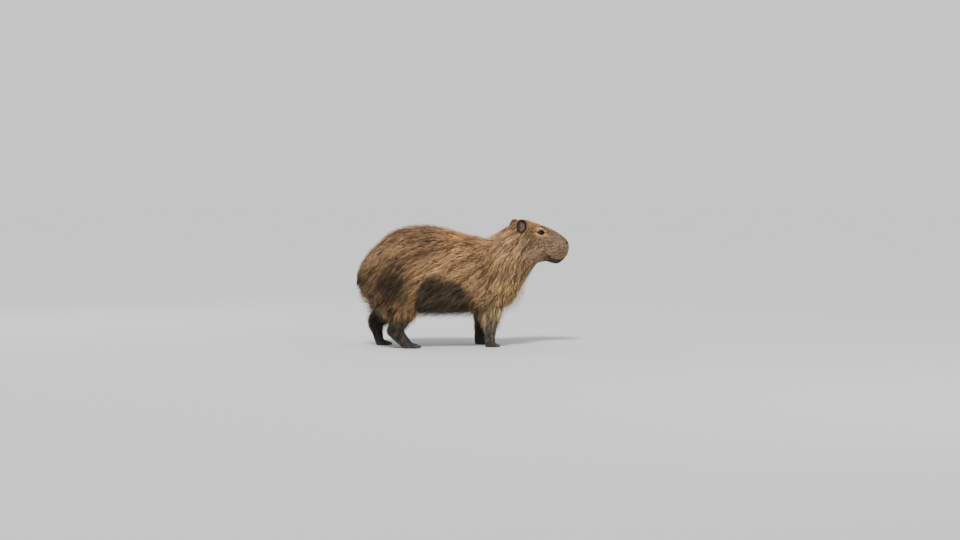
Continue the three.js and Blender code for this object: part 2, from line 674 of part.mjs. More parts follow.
// The whole form and its nodes, before the head turns.
function buildNodes() {
  const nodes = [];
  const add = (name, body, material, group = "body") => nodes.push({ name, body, material, group });

  const trunk = bodyForm(0, 0.72, 21, 20, trunkCoat);
  const floor = halfSpace(vec(0, 0, 0), vec(0, 0, 1), 0);
  const locks = coatLocks();
  const furry = union([trunk, ...locks]);
  const whole = union([furry, ...Object.values(legs).map((leg) => legForm(leg))]);
  const trunkSide = whole.intersect(before(neckCut, partGap / 2));
  let torso = trunkSide;
  for (const [name, leg] of Object.entries(legs)) {
    const kind = name.split("_")[0];
    const egg = kind === "front" ? frontEgg : hindEgg;
    const lastRow = leg.rows.at(-1);
    const { pieces, nails } = toesForm(kind, vec(leg.ball + leg.stand, leg.side * lastRow[3], 0));
    const nailRoom = union(nails.map((nail) => nail.room));
    const aboveAnkle = halfSpace(vec(0, 0, leg.ankle), vec(0, 0, 1), partGap / 2);
    const belowAnkle = halfSpace(vec(0, 0, leg.ankle), vec(0, 0, -1), partGap / 2);
    const foot = union([legForm(leg), ...pieces]).intersect(floor).subtract(nailRoom).intersect(belowAnkle);
    const upper = trunkSide.intersect(legRegion(leg.side, egg, egg.wall, 0)).intersect(aboveAnkle);
    torso = torso.subtract(legRegion(leg.side, egg, egg.wall, partGap));
    add(name.replace("_", "_leg_"), largest(upper), materials.legCoat);
    add(name.replace("_", "_foot_"), largest(foot), materials.footSkin);
    const nailName = name.replace("_", "_nail_") + "_";
    nails.forEach((nail, i) => add(nailName + (i + 1), nail.body.intersect(floor), materials.nail));
  }
  add("torso", largest(torso.subtract(tailForm(partGap))), materials.coat);
  const neck = furry.intersect(beyond(neckCut, partGap / 2)).intersect(before(headCut, partGap / 2));
  add("neck", largest(neck), materials.neckCoat, "neck");

  let head = bodyForm(0.5, 1, 28, 26, 0).intersect(beyond(headCut, partGap / 2));
  const eyes = [-1, 1].map((side) => lidsAndSocket(side));
  head = union([head, ...eyes.map((eye) => eye.lids)]);
  for (const eye of eyes) head = head.subtract(eye.opening).subtract(eye.socket);
  for (const side of [-1, 1]) head = head.subtract(nostril(side)).subtract(earForm(side, partGap));
  add("head", largest(head.subtract(mouthGroove())), materials.faceCoat, "head");
  for (const side of [-1, 1]) {
    const hand = side < 0 ? "right" : "left";
    add("eye_" + hand, ball(eyeRadius, mirrored(eyeCentre, side)), materials.eye, "head");
    add("ear_" + hand, earForm(side), materials.earSkin, "head");
  }
  add("tail", tailForm(0), materials.coat);
  return nodes;
}

// Turns the neck by degrees and the head as a whole, about an upright axis through the withers.
function posed(p, group) {
  const behind = p.clone().sub(neckCut.point).dot(neckCut.normal);
  const ahead = -p.clone().sub(headCut.point).dot(headCut.normal);
  const share = group === "head" ? 1 : group === "neck" ? smoothStep(behind / (behind + ahead)) : 0;
  const pivot = vec(165, 0, 0);
  return p.sub(pivot).applyAxisAngle(vec(0, 0, 1), headTurn * share).add(pivot).add(shift);
}

// A solid as named three.js geometry, in its pose.
function meshOf({ name, body, material, group }) {
  const { numProp, vertProperties, triVerts } = body.getMesh();
  const points = [];
  for (let i = 0; i < vertProperties.length; i += numProp)
    points.push(posed(vec(vertProperties[i], vertProperties[i + 1], vertProperties[i + 2]), group));
  const geometry = new THREE.BufferGeometry().setFromPoints(points);
  geometry.setIndex(new THREE.BufferAttribute(new Uint32Array(triVerts), 1));
  geometry.computeVertexNormals();
  const mesh = new THREE.Mesh(geometry, material);
  mesh.name = name;
  return mesh;
}

const capybara = new THREE.Group();
capybara.name = "capybara";
for (const node of buildNodes()) capybara.add(meshOf(node));

export default capybara;
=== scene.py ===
import bpy
import math
import numpy as np
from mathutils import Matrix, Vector
from mathutils.kdtree import KDTree


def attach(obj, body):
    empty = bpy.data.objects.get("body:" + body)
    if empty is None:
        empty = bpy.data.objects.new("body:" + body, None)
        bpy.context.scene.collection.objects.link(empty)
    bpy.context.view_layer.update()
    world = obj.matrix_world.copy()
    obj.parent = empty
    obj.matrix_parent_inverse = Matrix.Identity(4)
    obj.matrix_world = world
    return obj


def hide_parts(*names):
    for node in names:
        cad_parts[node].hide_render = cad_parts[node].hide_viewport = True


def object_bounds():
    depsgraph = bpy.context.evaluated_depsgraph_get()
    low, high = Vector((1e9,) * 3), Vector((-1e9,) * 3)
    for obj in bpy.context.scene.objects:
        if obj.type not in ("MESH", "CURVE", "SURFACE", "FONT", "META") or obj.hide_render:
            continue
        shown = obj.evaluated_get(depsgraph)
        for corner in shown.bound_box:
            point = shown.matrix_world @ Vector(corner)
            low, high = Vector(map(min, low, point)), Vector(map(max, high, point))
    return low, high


# A capybara standing still, seen from its right side. Shapes are worked out in millimetres with the head
# straight ahead, then posed and scaled to metres when their meshes are made. +X is ahead and +Z is up.
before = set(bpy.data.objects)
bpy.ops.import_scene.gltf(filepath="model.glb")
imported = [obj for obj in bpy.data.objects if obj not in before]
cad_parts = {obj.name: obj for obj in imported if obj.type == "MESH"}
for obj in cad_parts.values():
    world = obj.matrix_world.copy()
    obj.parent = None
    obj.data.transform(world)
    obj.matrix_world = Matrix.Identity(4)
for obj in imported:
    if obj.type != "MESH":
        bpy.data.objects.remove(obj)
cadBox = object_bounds()
random = np.random.default_rng(11)
print("stage: frame loaded")


# General helpers.

def smoothStep(t):
    t = np.clip(t, 0, 1)
    return t * t * (3 - 2 * t)


def above(value, start, reach):
    # grows smoothly from 0 at the start to 1 a reach past it
    return smoothStep((value - start) / reach)


def below(value, start, reach):
    # grows smoothly from 0 at the start to 1 a reach under it
    return smoothStep((start - value) / reach)


def bell(away, width):
    return np.exp(-(away / width) ** 2)


def blob(points, centre, reach):
    # exp(-d^2) of the distance from the centre, each axis measured in its own reach
    away = (np.asarray(points) - np.asarray(centre, float)) / np.asarray(reach, float)
    return np.exp(-(away ** 2).sum(-1))


def turns(count):
    # even angles round a circle
    return 2 * np.pi * np.arange(count) / count


def mirrored(points):
    # both sides of the body laid over its left one
    return np.stack([points[:, 0], np.abs(points[:, 1]), points[:, 2]], -1)


def unit(vectors):
    return vectors / np.maximum(np.linalg.norm(vectors, axis=-1, keepdims=True), 1e-9)


def handed(stem, side):
    return stem + ("Right" if side < 0 else "Left")


def waves(points, size, seed):
    # a soft uneven pattern from -1 to 1: ten sine waves in random directions, about that size across
    draw = np.random.default_rng(seed)
    total = 0
    for _ in range(10):
        direction = unit(draw.normal(size=3)) * 2 * math.pi / (size * draw.uniform(0.7, 1.6))
        total = total + np.sin(points @ direction + draw.uniform(0, 2 * math.pi))
    return total / 4.5  # ten waves seldom add up to more


def spline(rows, t):
    # smooth curve through evenly numbered rows: each span is a cubic whose end slopes are half the step
    # between the rows on either side
    rows = np.asarray(rows, float)
    last = len(rows) - 1
    place = np.clip(np.asarray(t, float), 0, 1) * last
    i = np.minimum(place.astype(int), last)
    w = (place - i)[..., None]
    p0, p1 = rows[np.maximum(i - 1, 0)], rows[i]
    p2, p3 = rows[np.minimum(i + 1, last)], rows[np.minimum(i + 2, last)]
    v0, v1 = (p2 - p0) / 2, (p3 - p1) / 2
    return (2 * p1 - 2 * p2 + v0 + v1) * w ** 3 + (3 * p2 - 3 * p1 - 2 * v0 - v1) * w ** 2 + v0 * w + p1


# The pose: the neck turns by degrees and the head as a whole.
pose = {
    "turn": math.radians(7),
    "pivot": 165,
    "shift": -1.5,
    "headCut": ((215, 0, 580), (0.893, 0, 0.45)),
    "neckCut": ((134, 0, 518), (0.963, 0, 0.27)),
}


def posed(points):
    # the angle grows smoothly from the neck's cut to the head's, about an upright axis at the pivot
    behind = (points - pose["neckCut"][0]) @ np.array(pose["neckCut"][1])
    ahead = (pose["headCut"][0] - points) @ np.array(pose["headCut"][1])
    share = np.where(ahead <= 0, 1, np.where(behind <= 0, 0, behind / np.maximum(behind + ahead, 1e-6)))
    angle = pose["turn"] * smoothStep(share)
    x, y = points[..., 0] - pose["pivot"], points[..., 1]
    return np.stack([
        x * np.cos(angle) - y * np.sin(angle) + pose["pivot"] + pose["shift"],
        x * np.sin(angle) + y * np.cos(angle),
        points[..., 2],
    ], -1)


def keptInside(metres, soft=0):
    # nothing passes the box of the solids or sinks into the floor; with soft, what comes nearer to its sides
    # than that is pressed together, more the further it would reach
    spare = 0.0002
    low, high = np.array(cadBox[0]) + spare, np.array(cadBox[1]) - spare
    if soft:
        for axis, corner, sign in ((0, low, -1), (0, high, 1), (1, low, -1), (1, high, 1), (2, high, 1)):
            over = np.maximum(sign * (metres[:, axis] - corner[axis]) + soft, 0)
            metres[:, axis] -= sign * (over - over / (1 + over / soft))
    return np.clip(metres, low, high)


def meshPiece(name, points, faces, material, corners=None, soft=0, **attributes):
    # points in millimetres before the pose; faces as an array of triangles or quads, or a list of such
    # arrays; an attribute with three numbers to a point is a colour
    mesh = bpy.data.meshes.new(name)
    points = keptInside(posed(points) / 1000, soft)
    faces = faces if isinstance(faces, list) else [faces]
    order = np.concatenate([part.ravel() for part in faces]).astype(np.int32)
    sizes = np.concatenate([np.full(len(part), part.shape[1]) for part in faces])
    mesh.vertices.add(len(points))
    mesh.vertices.foreach_set("co", points.astype(np.float32).ravel())
    mesh.loops.add(len(order))
    mesh.loops.foreach_set("vertex_index", order)
    mesh.polygons.add(len(sizes))
    mesh.polygons.foreach_set("loop_start", np.concatenate([[0], np.cumsum(sizes)[:-1]]).astype(np.int32))
    mesh.polygons.foreach_set("use_smooth", np.full(len(sizes), True))
    for label, values in attributes.items():
        isColour = values.ndim == 2
        layer = mesh.attributes.new(label, "FLOAT_COLOR" if isColour else "FLOAT", "POINT")
        if isColour:
            values = np.concatenate([values, np.ones((len(values), 1))], 1)
        layer.data.foreach_set("color" if isColour else "value", values.astype(np.float32).ravel())
    if corners is not None:
        layer = mesh.uv_layers.new(name="OFBake")
        layer.data.foreach_set("uv", corners[order].astype(np.float32).ravel())
    mesh.update(calc_edges=True)
    mesh.validate()
    mesh.materials.append(material)
    piece = bpy.data.objects.new(name, mesh)
    bpy.context.scene.collection.objects.link(piece)
    return piece


def closedGrid(rings):
    # quads between rings, and a fan at each end to the middle of its ring
    rows, around = rings.shape[:2]
    index = np.arange(rows * around).reshape(rows, around)
    after = np.roll(index, -1, 1)
    quads = np.stack([index[:-1], after[:-1], after[1:], index[1:]], -1).reshape(-1, 4)
    points = np.concatenate([rings.reshape(-1, 3), [rings[0].mean(0), rings[-1].mean(0)]])
    first = np.stack([np.full(around, rows * around), after[0], index[0]], -1)
    last = np.stack([np.full(around, rows * around + 1), index[-1], after[-1]], -1)
    a, b, c = points[quads[:, 0]], points[quads[:, 1]], points[quads[:, 2]]
    flux = (np.cross(b - a, c - a) * (a - points.mean(0))).sum()
    if flux < 0:
        quads, first, last = quads[:, ::-1], first[:, ::-1], last[:, ::-1]
    return points, [quads, np.concatenate([first, last])]


def gathered(forms):
    # several closed forms as one
    starts = np.cumsum([0] + [len(points) for points, faces in forms])
    faces = [part + start for (_, parts), start in zip(forms, starts) for part in parts]
    return np.concatenate([points for points, parts in forms]), faces


# Materials.

def nodeGroup(name, inputs, output, kind):
    # inputs by label, four numbers for a colour or else one
    group = bpy.data.node_groups.new(name, "ShaderNodeTree")
    for label, value in inputs.items():
        sort = "NodeSocketColor" if isinstance(value, tuple) else "NodeSocketFloat"
        group.interface.new_socket(label, in_out="INPUT", socket_type=sort).default_value = value
    group.interface.new_socket(output, in_out="OUTPUT", socket_type=kind)
    return group, group.nodes.new("NodeGroupInput"), group.nodes.new("NodeGroupOutput")


def addNode(tree, kind, **values):
    node = tree.nodes.new(kind)
    for key, value in values.items():
        setattr(node, key, value)
    return node


def rampNode(tree, source, *stops):
    # colours by position; the first and the last stop take the ramp's own two ends
    node = addNode(tree, "ShaderNodeValToRGB")
    elements = node.color_ramp.elements
    for i in (0, -1):
        elements[i].position = stops[i][0]
        elements[i].color = (*stops[i][1], 1)
    for position, colour in stops[1:-1]:
        elements.new(position).color = (*colour, 1)
    tree.links.new(source, node.inputs["Fac"])
    return node.outputs["Color"]


def multiplied(tree, first, second):
    node = addNode(tree, "ShaderNodeMix", data_type="RGBA", blend_type="MULTIPLY")
    node.inputs["Factor"].default_value = 1
    tree.links.new(first, node.inputs["A"])
    tree.links.new(second, node.inputs["B"])
    return node.outputs["Result"]


def hairShadeGroup():
    # darkens roots, lightens tips, and varies the tufts between dark guard hairs and golden tips
    group, start, end = nodeGroup("hairShade", {"Marking": (0.3, 0.2, 0.12, 1), "Along": 0.5, "Shade": 0.5},
                                  "Color", "NodeSocketColor")
    depth = rampNode(group, start.outputs["Along"], (0, (0.36, 0.35, 0.34)), (0.85, (1.3, 1.28, 1.26)))
    kind = rampNode(group, start.outputs["Shade"], (0, (0.28, 0.27, 0.26)), (0.5, (0.9, 0.9, 0.9)),
                    (1, (2.3, 2.22, 2.0)))
    colour = multiplied(group, multiplied(group, start.outputs["Marking"], depth), kind)
    group.links.new(colour, end.inputs["Color"])
    return group


def roughSkinGroup():
    # fine creases and pores: cells and a soft noise of one scale, as a height
    group, start, end = nodeGroup("roughSkin", {"Pore Scale": 400.0}, "Height", "NodeSocketFloat")
    place = addNode(group, "ShaderNodeTexCoord")
    cells = addNode(group, "ShaderNodeTexVoronoi", feature="DISTANCE_TO_EDGE")
    noise = addNode(group, "ShaderNodeTexNoise")
    noise.inputs["Detail"].default_value = 4
    for node in (cells, noise):
        group.links.new(place.outputs["Object"], node.inputs["Vector"])
        group.links.new(start.outputs["Pore Scale"], node.inputs["Scale"])
    both = addNode(group, "ShaderNodeMath", operation="MULTIPLY_ADD")
    group.links.new(cells.outputs["Distance"], both.inputs[0])
    both.inputs[1].default_value = 0.7
    group.links.new(noise.outputs["Fac"], both.inputs[2])
    group.links.new(both.outputs["Value"], end.inputs["Height"])
    return group


hairShade = hairShadeGroup()
roughSkin = roughSkinGroup()


def newMaterial(name, roughness, **sockets):
    material = bpy.data.materials.new(name)
    material.use_nodes = True
    shader = material.node_tree.nodes["Principled BSDF"]
    shader.inputs["Roughness"].default_value = roughness
    for label, value in sockets.items():
        shader.inputs[label].default_value = value
    return material, material.node_tree, shader


def attributeNode(tree, label):
    return addNode(tree, "ShaderNodeAttribute", attribute_name=label)


def hairMaterial(name, roughness):
    material, tree, shader = newMaterial(name, roughness, **{"Specular IOR Level": 0.3})
    shade = addNode(tree, "ShaderNodeGroup", node_tree=hairShade)
    for label, output in (("Marking", "Color"), ("Along", "Fac"), ("Shade", "Fac")):
        tree.links.new(attributeNode(tree, label.lower()).outputs[output], shade.inputs[label])
    tree.links.new(shade.outputs["Color"], shader.inputs["Base Color"])
    return material


def skinMaterial(name, roughness, poreScale, bumpDepth, shine):
    material, tree, shader = newMaterial(name, roughness, **{"Specular IOR Level": shine})
    tree.links.new(attributeNode(tree, "marking").outputs["Color"], shader.inputs["Base Color"])
    pores = addNode(tree, "ShaderNodeGroup", node_tree=roughSkin)
    pores.inputs["Pore Scale"].default_value = poreScale
    bump = addNode(tree, "ShaderNodeBump")
    bump.inputs["Strength"].default_value = 0.6
    bump.inputs["Distance"].default_value = bumpDepth
    tree.links.new(pores.outputs["Height"], bump.inputs["Height"])
    tree.links.new(bump.outputs["Normal"], shader.inputs["Normal"])
    return material


# Trunk, neck and head: one form through sections from rump to nose. Each row has back line x and z, belly
# line x and z, half width, level of the widest place, and how square the upper and the lower half are.
body = {
    "sections": [
        [-507, 330, -507, 330, 1, 0.5, 2, 2], [-496, 372, -490, 287, 62, 0.5, 2, 2],
        [-464, 426, -462, 248, 108, 0.5, 2, 2], [-414, 484, -418, 214, 144, 0.47, 2, 2.1],
        [-346, 542, -348, 188, 167, 0.44, 2, 2.2], [-268, 570, -268, 168, 177, 0.43, 2, 2.2],
        [-182, 577, -182, 157, 182, 0.42, 2, 2.2], [-92, 564, -94, 155, 180, 0.42, 2, 2.2],
        [-5, 538, -8, 161, 169, 0.42, 2, 2.2], [66, 523, 70, 172, 154, 0.42, 2, 2.2],
        [124, 518, 145, 184, 139, 0.44, 2, 2.1], [166, 540, 207, 210, 124, 0.46, 2, 2],
        [206, 565, 250, 250, 111, 0.48, 2.1, 2], [246, 584, 288, 303, 99, 0.49, 2.2, 2],
        [287, 595, 322, 358, 91, 0.46, 2.4, 2.1], [327, 593, 350, 389, 87, 0.43, 2.5, 2.2],
        [365, 585, 378, 401, 80, 0.42, 2.5, 2.2], [401, 575, 408, 406, 71, 0.44, 2.4, 2.2],
        [436, 561, 437, 401, 62, 0.46, 2.3, 2.3], [468, 543, 465, 398, 56, 0.48, 2.3, 2.4],
        [493, 526, 488, 411, 51, 0.5, 2.4, 2.5], [510, 508, 507, 431, 43, 0.52, 2.5, 2.4],
        [518, 492, 517, 453, 27, 0.52, 2.3, 2.2], [520, 474, 520, 474, 1, 0.5, 2, 2],
    ],
    # muscle and bone that push the flanks out or in: centre x and z, reach along x and z, push
    "swells": {
        "haunch": (-325, 300, 95, 110, 15), "flankHollow": (-190, 300, 45, 90, -7),
        "shoulder": (128, 330, 70, 110, 12), "elbowHollow": (40, 230, 40, 60, -8),
        "neckHollow": (215, 400, 45, 90, -4), "cheek": (318, 448, 45, 45, 5),
        "temple": (318, 560, 30, 20, -4), "browBone": (362, 572, 26, 12, 4),
        "eyeHollow": (372, 545, 22, 18, -6), "muzzleHollow": (415, 505, 30, 26, -6),
        "muzzlePad": (478, 470, 30, 34, 4),
    },
    # depth of the coat over the skin, and the room made for it at the belly, the rump and the chin
    "trunkInset": 9, "neckInset": 5, "headInset": 3, "muzzleInset": 1.5,
    "bellyInset": 17, "rumpInset": 5, "chinDrop": 5,
    "trunkSpacing": 7, "headSpacing": 1.9, "around": 224,
}
sideLimit = 160  # past this from the middle the skin is drawn in
halfway = -60  # the forelegs stand ahead of this and the hind legs behind it
neckStart = 235  # nothing ahead of this is a leg


def bodyInset(along):
    # the coat's depth changes in steps: each has its start along the body and its length
    inset = body["trunkInset"]
    steps = (("neckInset", 0.5, 0.08), ("headInset", 0.58, 0.06), ("muzzleInset", 0.74, 0.12))
    for name, start, reach in steps:
        inset = inset + (body[name] - inset) * above(along, start, reach)
    return inset


def bodySurface(along, angle, inset=0):
    # Each section is a squared ellipse between the back and belly lines: up = sin(angle)^(2/square) and side
    # = cos(angle)^(2/square), drawn in by the inset, with the swells added to the flanks.
    row = spline(body["sections"], along)
    back, belly = row[..., 0:2], row[..., 2:4]
    halfWidth, level = row[..., 4], row[..., 5]
    depth = np.linalg.norm(back - belly, axis=-1)
    keep = np.maximum(1 - 2 * inset / np.maximum(depth, 1), 0.2)
    up, out = np.sin(angle), np.cos(angle)
    square = 2 / np.where(up > 0, row[..., 6], row[..., 7])
    rise = level + np.where(up > 0, 1 - level, level) * np.sign(up) * np.abs(up) ** square
    share = (0.5 + (rise - 0.5) * keep)[..., None]
    line = belly + (back - belly) * share
    side = np.sign(out) * np.abs(out) ** square
    swell = 0
    for centreX, centreZ, reachX, reachZ, push in body["swells"].values():
        away = ((line[..., 0] - centreX) / reachX) ** 2 + ((line[..., 1] - centreZ) / reachZ) ** 2
        swell = swell + push * np.exp(-away)
    flank = np.minimum(1, np.abs(side) * 1.3) * np.sign(side)
    y = side * np.maximum(halfWidth - inset, 0.5) + flank * swell
    return np.stack([line[..., 0], y, line[..., 1]], -1)


def gridNormals(grid):
    # outward normals of a ring grid from the steps along and around it
    along = np.gradient(grid, axis=0)
    around = np.roll(grid, -1, 1) - np.roll(grid, 1, 1)
    normals = unit(np.cross(around, along))
    outward = (normals * (grid - grid.mean(1, keepdims=True))).sum(-1)
    return normals * np.sign(outward.mean() or 1)


flankAlong, flankRound = np.meshgrid(np.linspace(0.45, 1, 700), np.linspace(-1.57, 1.57, 500), indexing="ij")
flankGrid = bodySurface(flankAlong, flankRound)


def placeOnBody(x, z):
    # the place on the left flank that is nearest to x and z as seen from the side, and the normal there
    miss = np.hypot(flankGrid[..., 0] - x, flankGrid[..., 2] - z)
    i, j = np.unravel_index(miss.argmin(), miss.shape)
    along, angle, step = flankAlong[i, j], flankRound[i, j], 1e-3
    down = bodySurface(along + step, angle) - bodySurface(along - step, angle)
    sideways = bodySurface(along, angle + step) - bodySurface(along, angle - step)
    return flankGrid[i, j], unit(np.cross(sideways, down))


# Where things sit on the head.
ear = {"top": (271, 62, 606), "foot": (261, 547), "facing": (-0.16, 1, 0.1), "width": 44, "height": 64,
       "wall": 3.2, "bowl": 17}
eye = {"radius": 18, "lid": 4, "place": (364, 547), "sunk": 0.72, "axis": (0.26, 0.95, 0.16),
       "halfLong": 0.98, "up": 0.43, "down": 0.34, "drop": 0.04, "lidStretch": (1.35, 1.12, 1)}
eyePoint, eyeNormal = placeOnBody(*eye["place"])
eyeCentre = eyePoint - eyeNormal * eye["radius"] * eye["sunk"]
eyeAxis = unit(np.array(eye["axis"]))
eyeLevel = unit(np.cross([0, 0, 1], eyeAxis))
eyeAxes = np.stack([eyeLevel, np.cross(eyeAxis, eyeLevel), eyeAxis])
earTop = np.array(ear["top"], float)
earFoot = placeOnBody(*ear["foot"])[0] + [0, 3, 0]
earMiddle = (earTop + earFoot) / 2
earUp = unit(earTop - earFoot)
earOut = unit(-np.cross(np.cross(ear["facing"], earUp), earUp))
earAxes = np.stack([np.cross(earUp, earOut), earUp, earOut])
nostrilPoint, nostrilNormal = placeOnBody(507, 496)
mouthPlaces = [[407, 432], [422, 420], [444, 411], [472, 412], [494, 421]]
mouthLeft = np.array([placeOnBody(x, z)[0] for x, z in mouthPlaces] + [[509, 20, 430], [513, 0, 434]])
mouthLine = spline(mouthLeft, np.linspace(0, 1, 60))
# Folds of the face: centre, reach along each axis, and push out or in. The nostril's are measured from its
# pit.
nostrilFolds = {
    "pit": ((0, 0, 0), (6.5, 9, 4), -7.5), "upperRim": ((-2, 2, 8), (12, 12, 4.5), 2.6),
    "lowerRim": ((4, 2, -7), (8, 10, 4), 1.2), "slit": ((-12, 4, -7), (8, 10, 3.4), -2),
}
faceFolds = {
    "lipPad": ((470, 52, 452), (22, 30, 17), 1.6), "muzzleFold": ((440, 60, 470), (7, 30, 26), -1.5),
    "cheekFold": ((398, 66, 448), (7, 30, 22), -1.8),
}


def mouthDistance(points):
    # least distance to the sampled line of the mouth, and the share along it; far off behind the face
    away, share = np.full(len(points), 1e9), np.zeros(len(points))
    face = points[:, 0] > 380
    gaps = np.linalg.norm(mirrored(points[face])[:, None] - mouthLine, axis=2)
    away[face] = gaps.min(1)
    share[face] = gaps.argmin(1) / (len(mouthLine) - 1)
    return away, share


def eyePlace(points):
    # along, up and out from the middle of the nearer eyeball
    return (mirrored(points) - eyeCentre) @ eyeAxes.T


def earReach(points):
    # how far a place near an ear lies from its middle, as a share of the ear's outline
    place = (mirrored(points) - earMiddle) @ earAxes.T
    share = np.hypot(place[:, 0] * 2 / ear["width"], place[:, 1] * 2 / ear["height"])
    return np.where(place[:, 2] > -30, share, 9)


def sculptHead(points, normals):
    # pushes along the normal: lips, the mouth's groove, nostril pits and folds; then the lids bulge round
    # the eyes
    flat = points.reshape(-1, 3)
    near = flat[:, 0] > 230
    p = flat[near]
    folded = mirrored(p)
    push = np.zeros(len(p))
    away, place = mouthDistance(p)
    ends = smoothStep(place / 0.08)
    push -= 4.0 * ends * bell(away, 2.4)
    push += 1.6 * ends * bell(away - 6, 4)
    pit = nostrilPoint + nostrilNormal * -1.5
    for offset, reach, amount in nostrilFolds.values():
        push += amount * blob(folded, pit + np.array(offset), reach)
    push -= 2.0 * bell(p[:, 1], 2.2) * blob(p * [1, 0, 1], (519, 0, 462), (12, 9, 24))
    for centre, reach, amount in faceFolds.values():
        push += amount * blob(folded, centre, reach)
    push += 0.5 * waves(p, 24, 5)
    push -= 11 * below(earReach(p), 1.02, 0.3)
    p = p + normals.reshape(-1, 3)[near] * push[:, None]
    arm = mirrored(p) - eyeCentre
    local = arm @ eyeAxes.T
    distance = np.linalg.norm(local / eye["lidStretch"], axis=1)
    outer = eye["radius"] + eye["lid"]
    wanted = 0.5 * (distance + outer + np.sqrt((distance - outer) ** 2 + 3.5 ** 2))
    facing = above(local[:, 2], -4, 10)
    grow = 1 + (wanted / np.maximum(distance, 1) - 1) * facing
    moved = eyeCentre + arm * grow[:, None]
    radial = np.hypot(local[:, 0] / 1.3, local[:, 1]) / eye["radius"]
    upper = above(local[:, 1], -2, 6)
    crease = bell(radial - 1.02, 0.09) * upper - 0.6 * bell(radial - 1.1, 0.08) * (1 - upper)
    moved = moved - unit(moved - eyeCentre) * (1.3 * crease * facing)[:, None]
    moved[:, 1] *= np.where(p[:, 1] < 0, -1, 1)
    flat[near] = moved
    return flat.reshape(points.shape)


def bodySkin():
    # rings are spaced by the step of the back and belly lines, close on the head and wider on the trunk; the
    # sides are drawn in past their limit, and belly, chin and rump are moved, so that the coat has room
    fine = np.linspace(0.0008, 0.9992, 6000)
    rows = spline(body["sections"], fine)
    steps = np.linalg.norm(np.diff(rows[:, :4], axis=0), axis=1) / 1.6 + np.abs(np.diff(rows[:, 4])) * 0.5
    closer = body["headSpacing"] - body["trunkSpacing"]
    spacing = body["trunkSpacing"] + closer * above(fine[1:], 0.52, 0.1)
    need = np.concatenate([[0], np.cumsum(steps / spacing)])
    along = np.interp(np.linspace(0, need[-1], int(need[-1])), need, fine)
    angle = 2 * np.pi * (np.arange(body["around"]) + 0.5) / body["around"]
    along, angle = np.meshgrid(along, angle, indexing="ij")
    grid = bodySurface(along, angle, bodyInset(along))
    grid[..., 1] -= np.sign(grid[..., 1]) * np.maximum(np.abs(grid[..., 1]) - sideLimit, 0) * 0.6
    grid[..., 2] += body["bellyInset"] * below(grid[..., 2], 205, 40)
    chin = blob(grid[..., [0, 2]], (452, 396), (50, 22))
    grid[..., 2] -= body["chinDrop"] * np.minimum(1, 1.3 * chin)
    grid[..., 0] += body["rumpInset"] * below(grid[..., 0], -440, 60)
    return closedGrid(sculptHead(grid, gridNormals(grid)))


# Legs as level sections from the top down: height, back and front edge, distance from the middle, half width.
foreleg = [
    [370, 72, 200, 66, 38], [300, 64, 204, 80, 46], [235, 62, 186, 86, 44], [190, 66, 173, 88, 40],
    [160, 74, 163, 89, 35], [128, 84, 154, 89, 29], [98, 89, 147, 89, 25], [66, 91, 142, 88, 22],
    [40, 91, 140, 88, 22], [20, 91, 142, 88, 24], [0.6, 94, 142, 88, 23],
]
thigh = [[380, -430, -250, 90, 60], [310, -446, -240, 102, 66], [250, -444, -229, 108, 64]]
rightHind = thigh + [
    [212, -430, -228, 110, 59], [187, -408, -233, 111, 51], [164, -383, -246, 112, 43],
    [146, -367, -260, 113, 37], [126, -364, -278, 113, 31], [104, -371, -294, 113, 27],
    [86, -377, -300, 113, 25], [70, -374, -293, 113, 24], [52, -358, -280, 113, 23],
    [28, -332, -261, 113, 24], [0.6, -306, -244, 113, 24],
]
leftHind = thigh + [
    [212, -432, -238, 110, 59], [187, -422, -264, 111, 51], [164, -427, -298, 112, 43],
    [146, -437, -320, 113, 37], [130, -445, -338, 113, 32], [115, -447, -357, 113, 28],
    [98, -444, -376, 113, 26], [76, -435, -381, 113, 24], [50, -426, -379, 113, 23],
    [24, -418, -374, 113, 24], [0.6, -410, -362, 113, 24],
]
legs = {
    "frontRight": {"side": -1, "rows": foreleg, "ball": 124, "stand": 0, "kind": "front"},
    "frontLeft": {"side": 1, "rows": foreleg, "ball": 124, "stand": -25, "kind": "front"},
    "hindRight": {"side": -1, "rows": rightHind, "ball": -274, "stand": 0, "kind": "hind"},
    "hindLeft": {"side": 1, "rows": leftHind, "ball": -390, "stand": 0, "kind": "hind"},
}
feet = {
    "front": {"toes": [22, 30, 30, 20], "toeHalf": 8, "spread": 16, "padHalf": 21, "nail": 12},
    "hind": {"toes": [32, 42, 34], "toeHalf": 10.5, "spread": 15, "padHalf": 24, "nail": 17},
}
# A toe's sections: share of its length, reach past that, height over its half width, depth and width as
# shares of the half width. A nail's sections: share of its length, then height, depth and width as shares of
# the toe's half.
toeProfile = [(0.3, 0, 5.4, 1.02, 1), (0.55, 0, 4.4, 1, 1.06), (0.8, 0, 1.6, 1, 0.98),
              (0.93, 0, 0.4, 0.88, 0.86), (1, 0, -0.8, 0.6, 0.62), (1, 2.2, -1.4, 0.2, 0.25)]
nailProfile = [(0, 0.97, 0.66, 0.74), (0.3, 0.86, 0.64, 0.76), (0.7, 0.62, 0.48, 0.58),
               (0.93, 0.46, 0.32, 0.4), (1, 0.4, 0.12, 0.16)]
# The tail's stub: place, half depth and half width.
tailRows = [[-468, 0, 333, 10, 13], [-488, 0, 327, 11, 14], [-500, 0, 320, 9, 10], [-506, 0, 312, 6, 6],
            [-508, 0, 307, 2, 2]]


